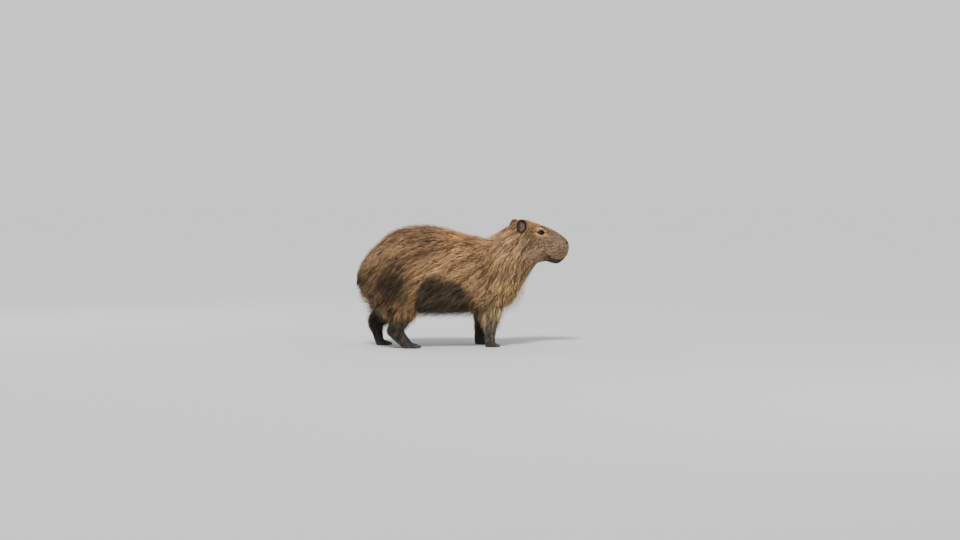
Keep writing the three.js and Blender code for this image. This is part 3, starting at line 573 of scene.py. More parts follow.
def legSkin(leg):
    # each level section is an ellipse; the coat's depth fades out above the knee and the elbow, and low down
    # the skin is a little uneven
    down, angle = np.meshgrid(np.linspace(0, 1, 76), turns(44), indexing="ij")
    z, back, front, y, half = np.moveaxis(spline(leg["rows"], down), -1, 0)
    inset = 7.2 * above(z, 130, 90) + 1.5
    x = (back + front) / 2 + leg["stand"] * below(z, 260, 230)
    grid = np.stack([
        x + np.cos(angle) * ((front - back) / 2 - inset),
        leg["side"] * (y + np.sin(angle) * (half - inset)),
        z,
    ], -1)
    low = below(z, 150, 60)[..., None]
    return closedGrid(grid + gridNormals(grid) * low * 0.5 * waves(grid, 16, 9)[..., None])


def limb(rows, rings, around, sideways):
    # ellipses at right angles to a smooth path; each row has x, y, z, half depth and half width
    row = spline(rows, np.linspace(0, 1, rings))
    middle, deep, wide = row[:, None, :3], row[:, None, 3:4], row[:, None, 4:5]
    upright = unit(np.cross(sideways, unit(np.gradient(row[:, :3], axis=0))))[:, None]
    angle = turns(around)[:, None]
    return middle + upright * (np.cos(angle) * deep) + np.asarray(sideways) * (np.sin(angle) * wide)


def fingerForm(start, ahead, sideways, profile, rings, around):
    # each row of the profile has reach ahead, height, half depth and half width
    rows = [[*(start + ahead * reach)[:2], height, deep, wide] for reach, height, deep, wide in profile]
    return limb(rows, rings, around, sideways)


def toeForms(leg):
    # toes in a fan from the ball of the foot, domed at their ends, and their nails
    foot = feet[leg["kind"]]
    ball = np.array([leg["ball"] + leg["stand"], leg["side"] * leg["rows"][-1][3], 0])
    full, half, count = foot["toeHalf"], foot["toeHalf"] - 0.6, len(foot["toes"])
    toes, nails = [], []
    for i, length in enumerate(foot["toes"]):
        place = i - (count - 1) / 2
        turn = math.radians(place * foot["spread"])
        ahead = np.array([math.cos(turn), math.sin(turn), 0])
        sideways = np.array([-ahead[1], ahead[0], 0])
        root = ball + [0, place / count * foot["padHalf"] * 1.5, 0]
        toe = [(-4, 12, half, half)]
        toe += [(length * share + past, half + lift, half * deep, half * wide)
                for share, past, lift, deep, wide in toeProfile]
        nail = [(-6, full, full * 0.44, full * 0.5)]
        nail += [(foot["nail"] * share, full * height, full * deep, full * wide)
                 for share, height, deep, wide in nailProfile]
        toes.append(fingerForm(root, ahead, sideways, toe, 22, 20))
        nails.append(fingerForm(root + ahead * (length - 2), ahead, sideways, nail, 16, 18))
    return toes, nails


def bareObject(name, points, faces):
    mesh = bpy.data.meshes.new(name)
    mesh.from_pydata(points.tolist(), [], [f for part in faces for f in part.tolist()])
    mesh.validate()
    thing = bpy.data.objects.new(name, mesh)
    bpy.context.scene.collection.objects.link(thing)
    return thing


def joined(base, others, operation):
    # one Boolean on a collection of closed forms, applied at once
    group = bpy.data.collections.new("forms")
    bpy.context.scene.collection.children.link(group)
    for other in others:
        bpy.context.scene.collection.objects.unlink(other)
        group.objects.link(other)
    change = base.modifiers.new("join", "BOOLEAN")
    change.operation = operation
    change.operand_type = "COLLECTION"
    change.collection = group
    change.solver = "MANIFOLD"
    bpy.context.view_layer.update()
    ready = base.evaluated_get(bpy.context.evaluated_depsgraph_get())
    mesh = bpy.data.meshes.new_from_object(ready)
    base.modifiers.clear()
    base.data = mesh
    for other in others:
        bpy.data.objects.remove(other)
    bpy.data.collections.remove(group)
    return base


def almondOutline(grow=0):
    # upper and lower edge are parabolas that meet in the corners, in eye radii; grow widens the almond
    turn = np.linspace(-1, 1, 25)
    long = (eye["halfLong"] + grow) * turn
    upper = np.stack([long, (1 - turn ** 2) * (eye["up"] + grow) - eye["drop"]], -1)
    lower = np.stack([-long, -(1 - turn ** 2) * (eye["down"] + grow) - eye["drop"]], -1)
    return np.concatenate([upper, lower[1:-1]])


def lidEdge(local):
    # how far a place lies outside the opening, in eye radii, and how far it lies along and up
    u, v = local[:, 0] / eye["radius"], local[:, 1] / eye["radius"]
    arch = 1 - (u / eye["halfLong"]) ** 2
    return np.maximum(v - (arch * eye["up"] - eye["drop"]), (-arch * eye["down"] - eye["drop"]) - v), u, v


def almondPrism(side):
    # the opening of the lids: two arcs that meet in the corners, carried out along the eye's axis
    outline = almondOutline() * eye["radius"]
    rings = np.stack([eyeCentre + outline @ eyeAxes[:2] + eyeAxes[2] * reach for reach in (2, 60)])
    return closedGrid(rings * [1, side, 1])


def ballGrid(rings, around, pole):
    # a ball of radius 1 from near one pole to near the other: (sin d cos a, sin d sin a, cos d), and d
    down, angle = np.meshgrid(np.linspace(pole, math.pi - pole, rings), turns(around), indexing="ij")
    return np.stack([np.sin(down) * np.cos(angle), np.sin(down) * np.sin(angle), np.cos(down)], -1), down


def wholeSkin():
    base = bareObject("skinBase", *bodySkin())
    forms = []
    for name, leg in legs.items():
        forms.append(bareObject(name, *legSkin(leg)))
        for i, toe in enumerate(toeForms(leg)[0]):
            forms.append(bareObject(name + "Toe" + str(i), *closedGrid(toe)))
    forms.append(bareObject("tailForm", *closedGrid(limb(tailRows, 20, 20, (0, 1, 0)))))
    joined(base, forms, "UNION")
    cuts = []
    for side in (-1, 1):
        socket = eyeCentre * [1, side, 1] + (eye["radius"] + 0.25) * ballGrid(24, 32, 0.02)[0]
        cuts.append(bareObject("opening" + str(side), *almondPrism(side)))
        cuts.append(bareObject("socket" + str(side), *closedGrid(socket)))
    joined(base, cuts, "DIFFERENCE")
    mesh = base.data
    points = np.empty(len(mesh.vertices) * 3)
    mesh.vertices.foreach_get("co", points)
    mesh.calc_loop_triangles()
    triangles = np.empty(len(mesh.loop_triangles) * 3, np.int32)
    mesh.loop_triangles.foreach_get("vertices", triangles)
    bpy.data.objects.remove(base)
    return points.reshape(-1, 3), triangles.reshape(-1, 3)


def triangleNormals(points, triangles):
    a, b, c = (points[triangles[:, k]] for k in range(3))
    return np.cross(b - a, c - a)


def vertexNormals(points, triangles):
    faces = triangleNormals(points, triangles)
    total = np.zeros_like(points)
    for k in range(3):
        for axis in range(3):
            total[:, axis] += np.bincount(triangles[:, k], faces[:, axis], len(points))
    return unit(total)


def softenJoints(points, triangles):
    # where two forms meet in a sharp fold behind the head, each point moves towards the mean of its
    # neighbours, most on the fold and less away from it
    ends = np.sort(np.concatenate([triangles[:, [0, 1]], triangles[:, [1, 2]], triangles[:, [2, 0]]]), 1)
    owner = np.tile(np.arange(len(triangles)), 3)
    order = np.lexsort((ends[:, 1], ends[:, 0]))
    ends, owner = ends[order], owner[order]
    same = np.all(ends[1:] == ends[:-1], 1)
    pairs = ends[:-1][same]
    normals = unit(triangleNormals(points, triangles))
    bend = (normals[owner[:-1][same]] * normals[owner[1:][same]]).sum(1)
    degree = np.bincount(pairs.ravel(), minlength=len(points)).clip(1)

    def neighbourMean(values):
        total = np.bincount(pairs[:, 0], values[pairs[:, 1]], len(points))
        return (total + np.bincount(pairs[:, 1], values[pairs[:, 0]], len(points))) / degree

    reach = np.zeros(len(points))
    reach[pairs[bend < 0.9].ravel()] = 1
    reach[points[:, 0] > 225] = 0
    for _ in range(7):
        reach = np.maximum(reach, np.minimum(1, neighbourMean(reach) * 1.25))
    reach = reach * below(points[:, 0], 235, 20) * above(points[:, 2], 2, 14)
    for _ in range(26):
        for axis in range(3):
            points[:, axis] += 0.6 * reach * (neighbourMean(points[:, axis]) - points[:, axis])
    return points


# The coat's colours in everyday 0 to 255 steps, in named patches: centre x and z, reach along x and z,
# colour and strength; some carry painted shade and one a painted highlight. The same colours go on the skin
# and the tufts.
markings = {
    "ground": (150, 119, 86),
    "patches": {
        "ribs": (-30, 390, 130, 90, (172, 138, 100), 0.75),
        "backTop": (-230, 590, 190, 60, (132, 105, 85), 0.7),
        "saddle": (-185, 500, 95, 45, (118, 94, 72), 0.65),
        "rumpUpper": (-430, 480, 62, 62, (150, 122, 100), 0.8),
        "haunchAround": (-352, 322, 112, 122, (108, 88, 64), 0.6),
        "haunchDark": (-348, 314, 80, 92, (46, 37, 27), 0.92),
        "thighBack": (-380, 225, 50, 50, (70, 57, 42), 0.75),
        "haunchFront": (-246, 275, 24, 95, (126, 98, 68), 0.85),
        "rumpTuft": (-502, 346, 38, 66, (46, 40, 33), 0.9),
        # pale golden hair on the withers, partly a painted highlight of rim-lit bristles
        "withersGoldAndHighlight": (20, 535, 90, 34, (196, 146, 98), 0.9),
        "nape": (150, 530, 60, 30, (156, 120, 86), 0.7),
        "shoulderDark": (92, 392, 26, 36, (92, 76, 56), 0.55),
        "shoulder": (130, 330, 55, 80, (136, 110, 80), 0.65),
        "neck": (205, 470, 60, 90, (186, 152, 114), 0.8),
        "chest": (220, 320, 60, 80, (162, 139, 100), 0.85),
        "crown": (310, 600, 74, 24, (172, 128, 88), 0.85),
        "cheek": (320, 450, 70, 60, (137, 116, 92), 0.85),
        "brow": (400, 570, 50, 26, (146, 116, 88), 0.7),
        "muzzle": (450, 470, 60, 60, (135, 116, 94), 0.9),
        "noseTop": (480, 545, 44, 30, (126, 111, 98), 0.9),
        "chin": (450, 396, 66, 20, (84, 72, 56), 0.85),
        "foreleg": (130, 170, 70, 80, (157, 139, 104), 0.85),
    },
    # the dark belly, partly painted shade: points of its upper edge, where it starts behind the elbow and
    # ends before the thigh
    "belly": {"line": [[-250, 343], [-170, 347], [-80, 348], [-7, 314], [33, 280], [75, 236]], "front": 78,
              "back": [[180, -240], [250, -238], [340, -208]], "tone": (62, 53, 40), "strength": 0.97},
    "legs": (96, 91, 84),
    "hindLegs": (50, 49, 45),
    "innerLegShade": (36, 33, 30),
    "feet": (72, 68, 63),
    "eyeRing": (206, 162, 108),
    "eyeSkin": (160, 126, 88),
    "lid": (30, 23, 19),
    "lidLine": (196, 162, 120),
    "nostril": (16, 13, 12),
    "nose": (92, 80, 74),
    "lips": (50, 41, 35),
    "mouth": (26, 20, 18),
}


def linear(tone):
    # a colour in everyday steps, as light
    value = np.array(tone, float) / 255
    return np.where(value < 0.04045, value / 12.92, ((value + 0.055) / 1.055) ** 2.4)


def evenColour(tone, count):
    return np.tile(linear(tone), (count, 1))


def mixed(colour, tone, share):
    share = np.clip(share, 0, 1)[:, None]
    return colour * (1 - share) + linear(tone) * share


def streaks(points, across, along, seed):
    # soft streaks about that wide and long: straight back on the middle line, back and down on the flanks
    steep = math.radians(38) * smoothStep(np.abs(points[:, 1]) / 110)
    down = points[:, 0] * np.cos(steep) + points[:, 2] * np.sin(steep)
    over = points[:, 2] * np.cos(steep) - points[:, 0] * np.sin(steep)
    return waves(np.stack([down * across / along, over, points[:, 1]], -1), across, seed)


def paint(points):
    # starts from the ground colour and lays each patch over it with a soft edge, broken up by the waves
    x, y, z = points.T
    colour = evenColour(markings["ground"], len(points))
    broken = 0.08 * waves(points, 60, 21) + 0.16 * streaks(points, 9, 60, 25)
    for centreX, centreZ, reachX, reachZ, tone, strength in markings["patches"].values():
        away = ((x - centreX) / reachX) ** 2 + ((z - centreZ) / reachZ) ** 2
        colour = mixed(colour, tone, strength * smoothStep(1.3 - np.sqrt(away) * 0.8 + 0.9 * broken))
    # the belly darkened below its edge: partly its dark fur, partly painted shade under the flank
    belly = markings["belly"]
    line = np.interp(x, *np.array(belly["line"]).T)
    back = np.interp(z, *np.array(belly["back"]).T)
    share = smoothStep((line - z) / 44 + 0.5 + 1.6 * broken)
    share = share * smoothStep((x - back) / 18 + 2 * broken)
    share = share * smoothStep((belly["front"] - x) / 30 + 2 * broken)
    colour = mixed(colour, belly["tone"], belly["strength"] * share)
    # the legs: dark below, with painted shade darkest on their inner sides, and uneven streaks
    onLeg = x < neckStart
    low = smoothStep((165 - z) / 90 + 0.3 * waves(points, 40, 23)) * onLeg
    colour = mixed(colour, markings["legs"], 0.9 * low * (x > halfway))
    low = smoothStep((205 - z) / 90 + 0.2 * waves(points, 40, 24))
    colour = mixed(colour, markings["hindLegs"], 0.92 * low * (x < halfway))
    # painted shade on the legs' inner sides, the sides that show of the far legs
    inner = below(np.abs(y), np.where(x > halfway, 88, 112), 16) * below(z, 230, 60) * onLeg
    colour = mixed(colour, markings["innerLegShade"], 0.75 * inner)
    colour = colour * (1 + 0.2 * below(z, 190, 60) * waves(points * [1, 1, 0.4], 14, 26) * onLeg)[:, None]
    colour = mixed(colour, markings["feet"], below(z, 62, 40))
    # the face: a pale ring round the eye with dark corners, the lips and the tip of the nose
    local = eyePlace(points)
    onFace = local[:, 2] > -8
    along, up = local[:, 0] / eye["radius"], local[:, 1] / eye["radius"]
    ring = np.hypot(local[:, 0] / 1.45, local[:, 1]) / eye["radius"]
    colour = mixed(colour, markings["eyeRing"], 0.9 * onFace * bell(ring - 0.95, 0.32))
    corner = np.exp(-((along - 1.2) / 0.3) ** 2 - ((up - 0.04) / 0.17) ** 2)
    corner = corner + 0.7 * np.exp(-((along + 1.15) / 0.22) ** 2 - ((up + 0.14) / 0.14) ** 2)
    colour = mixed(colour, markings["lid"], 0.95 * onFace * corner)
    away, place = mouthDistance(points)
    colour = mixed(colour, markings["lips"], 0.92 * bell(away, 7.5) * smoothStep(place / 0.06))
    return mixed(colour, markings["nose"], 0.8 * blob(mirrored(points), (516, 12, 496), (16, 34, 20)))


def paintSkin(points):
    # the coat's colours, then the bare places: lids, and painted shade in the nostrils, along the mouth's
    # line and under the ears
    colour = paint(points)
    x, y, z = points.T
    local, folded = eyePlace(points), mirrored(points)
    onFace = (local[:, 2] > -2) & (x > 320) & (x < 410)
    edge, along, up = lidEdge(local)
    colour = mixed(colour, markings["eyeSkin"], 0.7 * onFace * below(edge, 0.72, 0.2))
    colour = mixed(colour, markings["lid"], 0.97 * onFace * below(edge, 0.42, 0.1))
    colour = mixed(colour, markings["lidLine"], onFace * (up < 0) * bell(edge - 0.54, 0.09))
    # painted shade: near black in the nostril's pit and in the slit running back and down from it
    pitShade = blob(folded, nostrilPoint, (10, 20, 6.6))
    pitShade = pitShade + 0.6 * blob(folded, nostrilPoint + [-11, 3, -7], (8, 16, 3.4))
    colour = mixed(colour, markings["nostril"], 1.5 * pitShade)
    away, place = mouthDistance(points)
    # painted shade along the mouth's line, in the gap between the lips
    colour = mixed(colour, markings["mouth"], 0.95 * bell(away, 2.6) * smoothStep(place / 0.05))
    # painted shade on the skin under the ears, in the lids' dark colour
    colour = mixed(colour, markings["lid"], below(earReach(points), 1, 0.2) * (x < 330))
    return colour * (0.86 + 0.1 * waves(points, 9, 30))[:, None]


hairLengths = {"back": 44, "belly": 30, "neck": 38, "cheek": 17, "face": 9, "crown": 24, "muzzle": 4.5,
               "upperLeg": 20, "lowerLeg": 11, "foot": 4.5}


def hairLength(points):
    # longest on the haunch and flanks, short on the face, shortest on the muzzle and the feet; each place's
    # length takes over from the one before by its share
    x, y, z = points.T
    length = hairLengths["back"] + 0 * x
    shares = {
        "belly": below(z, 215, 60), "neck": above(x, 120, 90), "cheek": above(x, 225, 70),
        "face": smoothStep((x - 330 - 40 * above(z, 540, 30)) / 50),
        "crown": blob(points, (300, 0, 605), (34, 60, 26)), "muzzle": above(x, 400, 50),
        "upperLeg": below(z, 185, 90) * (x < neckStart), "lowerLeg": below(z, 105, 60) * (x < neckStart),
    }
    for place, share in shares.items():
        length = length + (hairLengths[place] - length) * share
    length = length * (1 - 0.4 * blob(points[:, [0, 2]], (-490, 275), (60, 70)))
    return length + (hairLengths["foot"] - length) * below(z, 45, 30)


def lieAt(points, normals):
    # backwards on the midline, back and down on the flanks, steeper on haunch, shoulder and neck, down on the
    # legs; on the face back from the nose
    x, y, z = points.T
    steep = 32 + 26 * below(x, -260, 120) + 28 * above(x, 20, 120)
    steep = steep + (10 - steep) * above(x, 300, 80)
    droop = np.radians(steep) * (0.15 + 0.85 * np.abs(normals[:, 1]))
    onLeg = below(z, 230, 70) * above(np.abs(y), 62, 14)
    droop = droop + (math.radians(78) - droop) * onLeg
    lie = np.stack([-np.cos(droop), 0 * x, -np.sin(droop)], -1)
    flat = lie - normals * (lie * normals).sum(-1, keepdims=True)
    weak = below(np.linalg.norm(flat, axis=1), 0.5, 0.3)[:, None]
    ahead = np.array([0.5, 0, -0.86])
    return unit(flat * (1 - weak) + (ahead - normals * (normals @ ahead)[:, None]) * weak)


def hairDensity(points, normals):
    # tufts to a square millimetre, from their length, none on bare places
    x, y, z = points.T
    local, folded = eyePlace(points), mirrored(points)
    edge, along, up = lidEdge(local)
    away, place = mouthDistance(points)
    bare = (local[:, 2] > -6) & (edge < np.where(up < 0, 0.44, 0.38)) & (x > 300) & (x < 420)  # eye
    bare |= (away < 3.2) & (place > 0.03)  # mouth
    bare |= blob(folded, (522, 0, 500), (10, 9, 12)) > 0.5  # nose
    bare |= blob(folded, nostrilPoint, (12, 22, 8.5)) > 0.4
    bare |= earReach(points) < 0.86
    bare |= (z < 4) | ((z < 12) & (normals[:, 2] < -0.5))  # soles
    return np.where(bare, 0, 1 / hairLength(points) ** 1.35)


# Each kind of hair: how many tufts, sections along one, width, share of the usual length, lift and spread,
# how many tufts make a lock and how far it stretches, how they gather in it, and where along x the pieces
# are parted.
coat = {
    "long": {
        "count": 45000, "stations": (0, 0.4, 0.78), "width": 3.2, "usual": 44, "stretch": 1, "lift": 7,
        "spread": 0.08, "lock": (16, 7), "gather": 0.6, "contrast": 1.02,
        "names": ["coatRump", "coatLoin", "coatRibs", "coatShoulder", "coatNeck"],
        "cuts": [-350, -220, -60, 120]},
    "guard": {
        "count": 20000, "stations": (0, 0.5), "width": 1.5, "usual": 44, "stretch": 1.4, "lift": 17,
        "spread": 0.18, "lock": (16, 7), "gather": 0.3, "contrast": 1.0,
        "names": ["guardRear", "guardFront"], "cuts": [-100]},
    "short": {
        "count": 50000, "stations": (0, 0.5), "width": 1.5, "usual": 10, "stretch": 1, "lift": 2,
        "spread": 0.12, "lock": (14, 4), "gather": 0.4, "contrast": 1.15,
        "names": ["coatHindLegs", "coatForelegs", "coatCheeks", "coatMuzzle", "coatNose"],
        "cuts": [-60, 230, 400, 462]},
}


def turnedAbout(vectors, axes, angle):
    angle = angle[:, None]
    return vectors * np.cos(angle) + np.cross(axes, vectors) * np.sin(angle)


def rootsOn(points, triangles, normals, weight, count):
    # roots spread evenly by weighted area: one draw in each equal share of the running total
    area = np.linalg.norm(triangleNormals(points, triangles), axis=1) / 2 * weight
    total = np.cumsum(area)
    draws = (np.arange(count) + random.random(count)) / count * total[-1]
    corners = triangles[np.minimum(np.searchsorted(total, draws), len(triangles) - 1)]
    u, v = random.random(count), random.random(count)
    flip = u + v > 1
    u, v = np.where(flip, 1 - u, u)[:, None], np.where(flip, 1 - v, v)[:, None]
    a, b, c = corners.T
    place = points[a] + (points[b] - points[a]) * u + (points[c] - points[a]) * v
    return place, unit(normals[a] * (1 - u - v) + normals[b] * u + normals[c] * v), corners


def curvatureAlong(points, normals, corners, direction):
    # how fast the normal turns along a direction, from the three corners of the triangle
    a, b, c = corners.T
    ab, ac = points[b] - points[a], points[c] - points[a]
    nab, nac = normals[b] - normals[a], normals[c] - normals[a]
    aa, ad, dd = (ab * ab).sum(1), (ab * ac).sum(1), (ac * ac).sum(1)
    ma, md = (ab * direction).sum(1), (ac * direction).sum(1)
    scale = np.maximum(aa * dd - ad * ad, 1e-3 * aa * dd + 1e-9)
    p, q = (ma * dd - md * ad) / scale, (md * aa - ma * ad) / scale
    return ((nab * p[:, None] + nac * q[:, None]) * direction).sum(1)


def bakePlace(points):
    # an unwrap of the skin: trunk and head round their middle line, and each leg round its own in its own
    # corner
    x, y, z = points.T
    middle = np.interp(x, [-500, -200, 100, 300, 500], [330, 370, 350, 490, 470])
    bodyRound = np.arctan2(z - middle, y) / (2 * np.pi) + 0.5
    place = np.stack([0.01 + 0.98 * (x + 520) / 1045, 0.32 + 0.67 * bodyRound], -1)
    isLeg = (z < 200) & (np.abs(y) > 50) & (x < neckStart)
    fore, right = x > halfway, y < 0
    rightHindX = np.interp(z, [0, 80, 200], [-275, -335, -330])
    leftHindX = np.interp(z, [0, 80, 200], [-386, -408, -335])
    centreX = np.where(fore, 118, np.where(right, rightHindX, leftHindX))
    legRound = np.arctan2(np.abs(y) - np.where(fore, 88, 112), x - centreX) / (2 * np.pi) + 0.5
    column = np.where(fore, 0, 2) + np.where(right, 0, 1)
    legPlace = np.stack([0.01 + 0.245 * column + 0.225 * legRound, 0.01 + 0.28 * z / 200], -1)
    return np.where(isLeg[:, None], legPlace, place)


def tuftMesh(name, stations, sink, soft, root, normal, lie, length, width, lift, curve, bend, marking, shade):
    # A tuft is a flat tapered lock of three-sided sections. At share s its middle is root + lie s L + side
    # bend L s^2 + normal (lift s (2 - s) - sink (1 - s)^3 - curvature (s L)^2 / 2), and it ends in a point
    # at s = 1.
    s = np.append(stations, 1.0)
    wide = width[:, None] * np.interp(s, [0, 0.4, 0.8, 1], [0.6, 1, 0.62, 0])
    length, bend = length[:, None], bend[:, None]
    side = np.cross(lie, normal)[:, None]
    height = lift[:, None] * s * (2 - s) - sink * (1 - s) ** 3 - curve[:, None] * (s * length) ** 2 / 2
    middle = (root[:, None] + lie[:, None] * (s * length)[..., None] + normal[:, None] * height[..., None]
              + side * (bend * length * s ** 2)[..., None])
    reach = side * (wide / 2)[..., None]
    ridge = normal[:, None] * (wide * 0.36)[..., None]
    rings = np.stack([middle - reach, middle + reach, middle + ridge], 2)[:, :-1]
    count, rows = len(root), len(stations)
    points = np.concatenate([rings.reshape(count, -1, 3), middle[:, -1:]], 1)
    tip = rows * 3
    pattern = []
    for first in range(0, tip - 3, 3):
        for k in range(3):
            a, b = first + k, first + (k + 1) % 3
            pattern += [[a, b, b + 3], [a, b + 3, a + 3]]
    pattern += [[tip - 3 + k, tip - 3 + (k + 1) % 3, tip] for k in range(3)] + [[2, 1, 0]]
    each = tip + 1
    faces = (np.array(pattern)[None] + (np.arange(count) * each)[:, None, None]).reshape(-1, 3)
    along = np.tile(np.append(np.repeat(stations, 3), 1.0), count)
    across = np.tile(np.append(np.tile([0.0, 1.0, 0.5], rows), 0.5), count)
    place = np.repeat(bakePlace(root), each, 0) + (np.stack([across, along], -1) - 0.5) * 0.003
    return meshPiece(name, points.reshape(-1, 3), faces, coatHair, place, soft,
                     marking=np.repeat(marking, each, 0), along=along, shade=np.repeat(shade, each))


def locksOf(root, lie, side, size, stretch):
    # Some tufts lead and each other one joins the leader that is nearest when lengths along the lie are
    # divided by the stretch. Returns how far each lies from its leader along the side direction, and a
    # random number from 0 to 1 for each lock.
    leaders = np.arange(0, len(root), size)
    tree = KDTree(len(leaders))
    for i in leaders:
        tree.insert(root[i], i)
    tree.balance()
    near = np.array([[found[1] for found in tree.find_n(place, 12)] for place in root])
    arm = root[near] - root[:, None]
    across = (arm * side[:, None]).sum(-1)
    ahead = (arm * lie[:, None]).sum(-1)
    away = (arm ** 2).sum(-1) - ahead ** 2 * (1 - 1 / stretch ** 2)
    best = away.argmin(1)
    rows = np.arange(len(root))
    return -across[rows, best], random.random(len(root))[near[rows, best]]


def growCoat(points, triangles, normals):
    made = []
    centres = points[triangles].mean(1)
    lengthThere = hairLength(centres)
    density = hairDensity(centres, unit(triangleNormals(points, triangles)))
    for kind, look in coat.items():
        share = above(lengthThere, 14, 8)
        share = 1 - share if kind == "short" else share
        root, normal, corners = rootsOn(points, triangles, normals, density * share, look["count"])
        order = np.argsort(root[:, 0] + 0.001 * root[:, 2])
        root, normal, corners = root[order], normal[order], corners[order]
        count = len(root)
        lie = lieAt(root, normal)
        swirl = 0.12 * waves(root, 70, 41) + 0.08 * waves(root, 22, 42)
        swirl = swirl + random.normal(0, look["spread"], count)
        lie = turnedAbout(lie, normal, swirl)
        full = hairLength(root)
        length = full * look["stretch"] * random.uniform(0.7, 1.2, count)
        width = look["width"] * (full / look["usual"]) ** 0.6 * random.uniform(0.7, 1.25, count)
        off, luck = locksOf(root, lie, np.cross(lie, normal), *look["lock"])
        hanging = smoothStep((-normal[:, 2] + 0.1) / 0.5) * above(length, 18, 12)
        shaggy = above(root[:, 0], 180, 40) * below(root[:, 2], 430, 60)
        crown = blob(root, (300, 0, 605), (34, 60, 26))
        lift = look["lift"] * full / look["usual"] * (0.75 + 0.5 * luck + random.normal(0, 0.25, count))
        bend = -look["gather"] * off / length + random.normal(0, 0.07, count)
        shade = 0.5 + look["contrast"] * (luck - 0.5) + random.normal(0, 0.19, count)
        tufts = {
            "root": root, "normal": normal, "lie": lie, "length": length, "width": width,
            "lift": lift * (1 + 1.6 * hanging + 1.4 * shaggy + 5 * crown),
            "curve": np.clip(curvatureAlong(points, normals, corners, lie), -0.008, 0.03), "bend": bend,
            "marking": paint(root), "shade": np.clip(shade, 0, 1),
        }
        cuts = np.searchsorted(root[:, 0], look["cuts"])
        for part, rows in zip(look["names"], np.split(np.arange(count), cuts)):
            values = {label: value[rows] for label, value in tufts.items()}
            made.append(tuftMesh(part, look["stations"], 1.5, 0.006, **values))
        print("tufts", kind, np.diff([0, *cuts, count]))
    return made


coatHair = hairMaterial("coatHair", 0.62)
skinHide = skinMaterial("hide", 0.62, 420.0, 0.0006, 0.35)

skinPoints, skinTriangles = wholeSkin()
print("stage: skin joined", len(skinTriangles))
skinPoints = softenJoints(skinPoints, skinTriangles)
skinNormals = vertexNormals(skinPoints, skinTriangles)
skin = meshPiece("skin", skinPoints, skinTriangles, skinHide, marking=paintSkin(skinPoints))
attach(skin, "root")
fleshNodes = ["torso", "neck", "head", "tail"]
for part in ("front_leg_", "hind_leg_", "front_foot_", "hind_foot_"):
    fleshNodes += [part + "right", part + "left"]
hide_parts(*fleshNodes)
print("stage: skin made")

for piece in growCoat(skinPoints, skinTriangles, skinNormals):
    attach(piece, "root")
print("stage: coat grown")


# Eyes: glossy balls with colours by rings round the pupil.
def eyeBall(side):
    shape, down = ballGrid(60, 64, 0.01)
    points, faces = closedGrid((eyeCentre + (shape * (eye["radius"] * 0.98)) @ eyeAxes) * [1, side, 1])
    ring = np.append(down.ravel() / math.pi, [0, 1])
    return meshPiece(handed("eye", side), points, faces, eyeGloss, ring=ring)


def eyeMaterial():
    material, tree, shader = newMaterial(
        "eyeGloss", 0.1, **{"Coat Weight": 0.5, "Coat Roughness": 0.02, "Specular IOR Level": 0.2})
    colour = rampNode(
        tree, attributeNode(tree, "ring").outputs["Fac"], (0.11, (0.002, 0.002, 0.002)),
        (0.13, (0.014, 0.006, 0.003)), (0.24, (0.022, 0.010, 0.005)), (0.27, (0.006, 0.004, 0.003)),
        (0.32, (0.03, 0.014, 0.009)))
    tree.links.new(colour, shader.inputs["Base Color"])
    return material


eyeGloss = eyeMaterial()
for side, node in ((-1, "eye_right"), (1, "eye_left")):
    ballPiece = eyeBall(side)
    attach(ballPiece, "root")
    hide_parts(node)
print("stage: eyes made")


# Ears: a cup folded over at its rim, with a thick front edge, a ridge and a hollow in the bowl.
earTones = {"cup": (46, 36, 31), "ridge": (158, 118, 98), "shadedHollow": (30, 22, 19), "hair": (92, 70, 54),
            "rimHair": (56, 43, 35)}


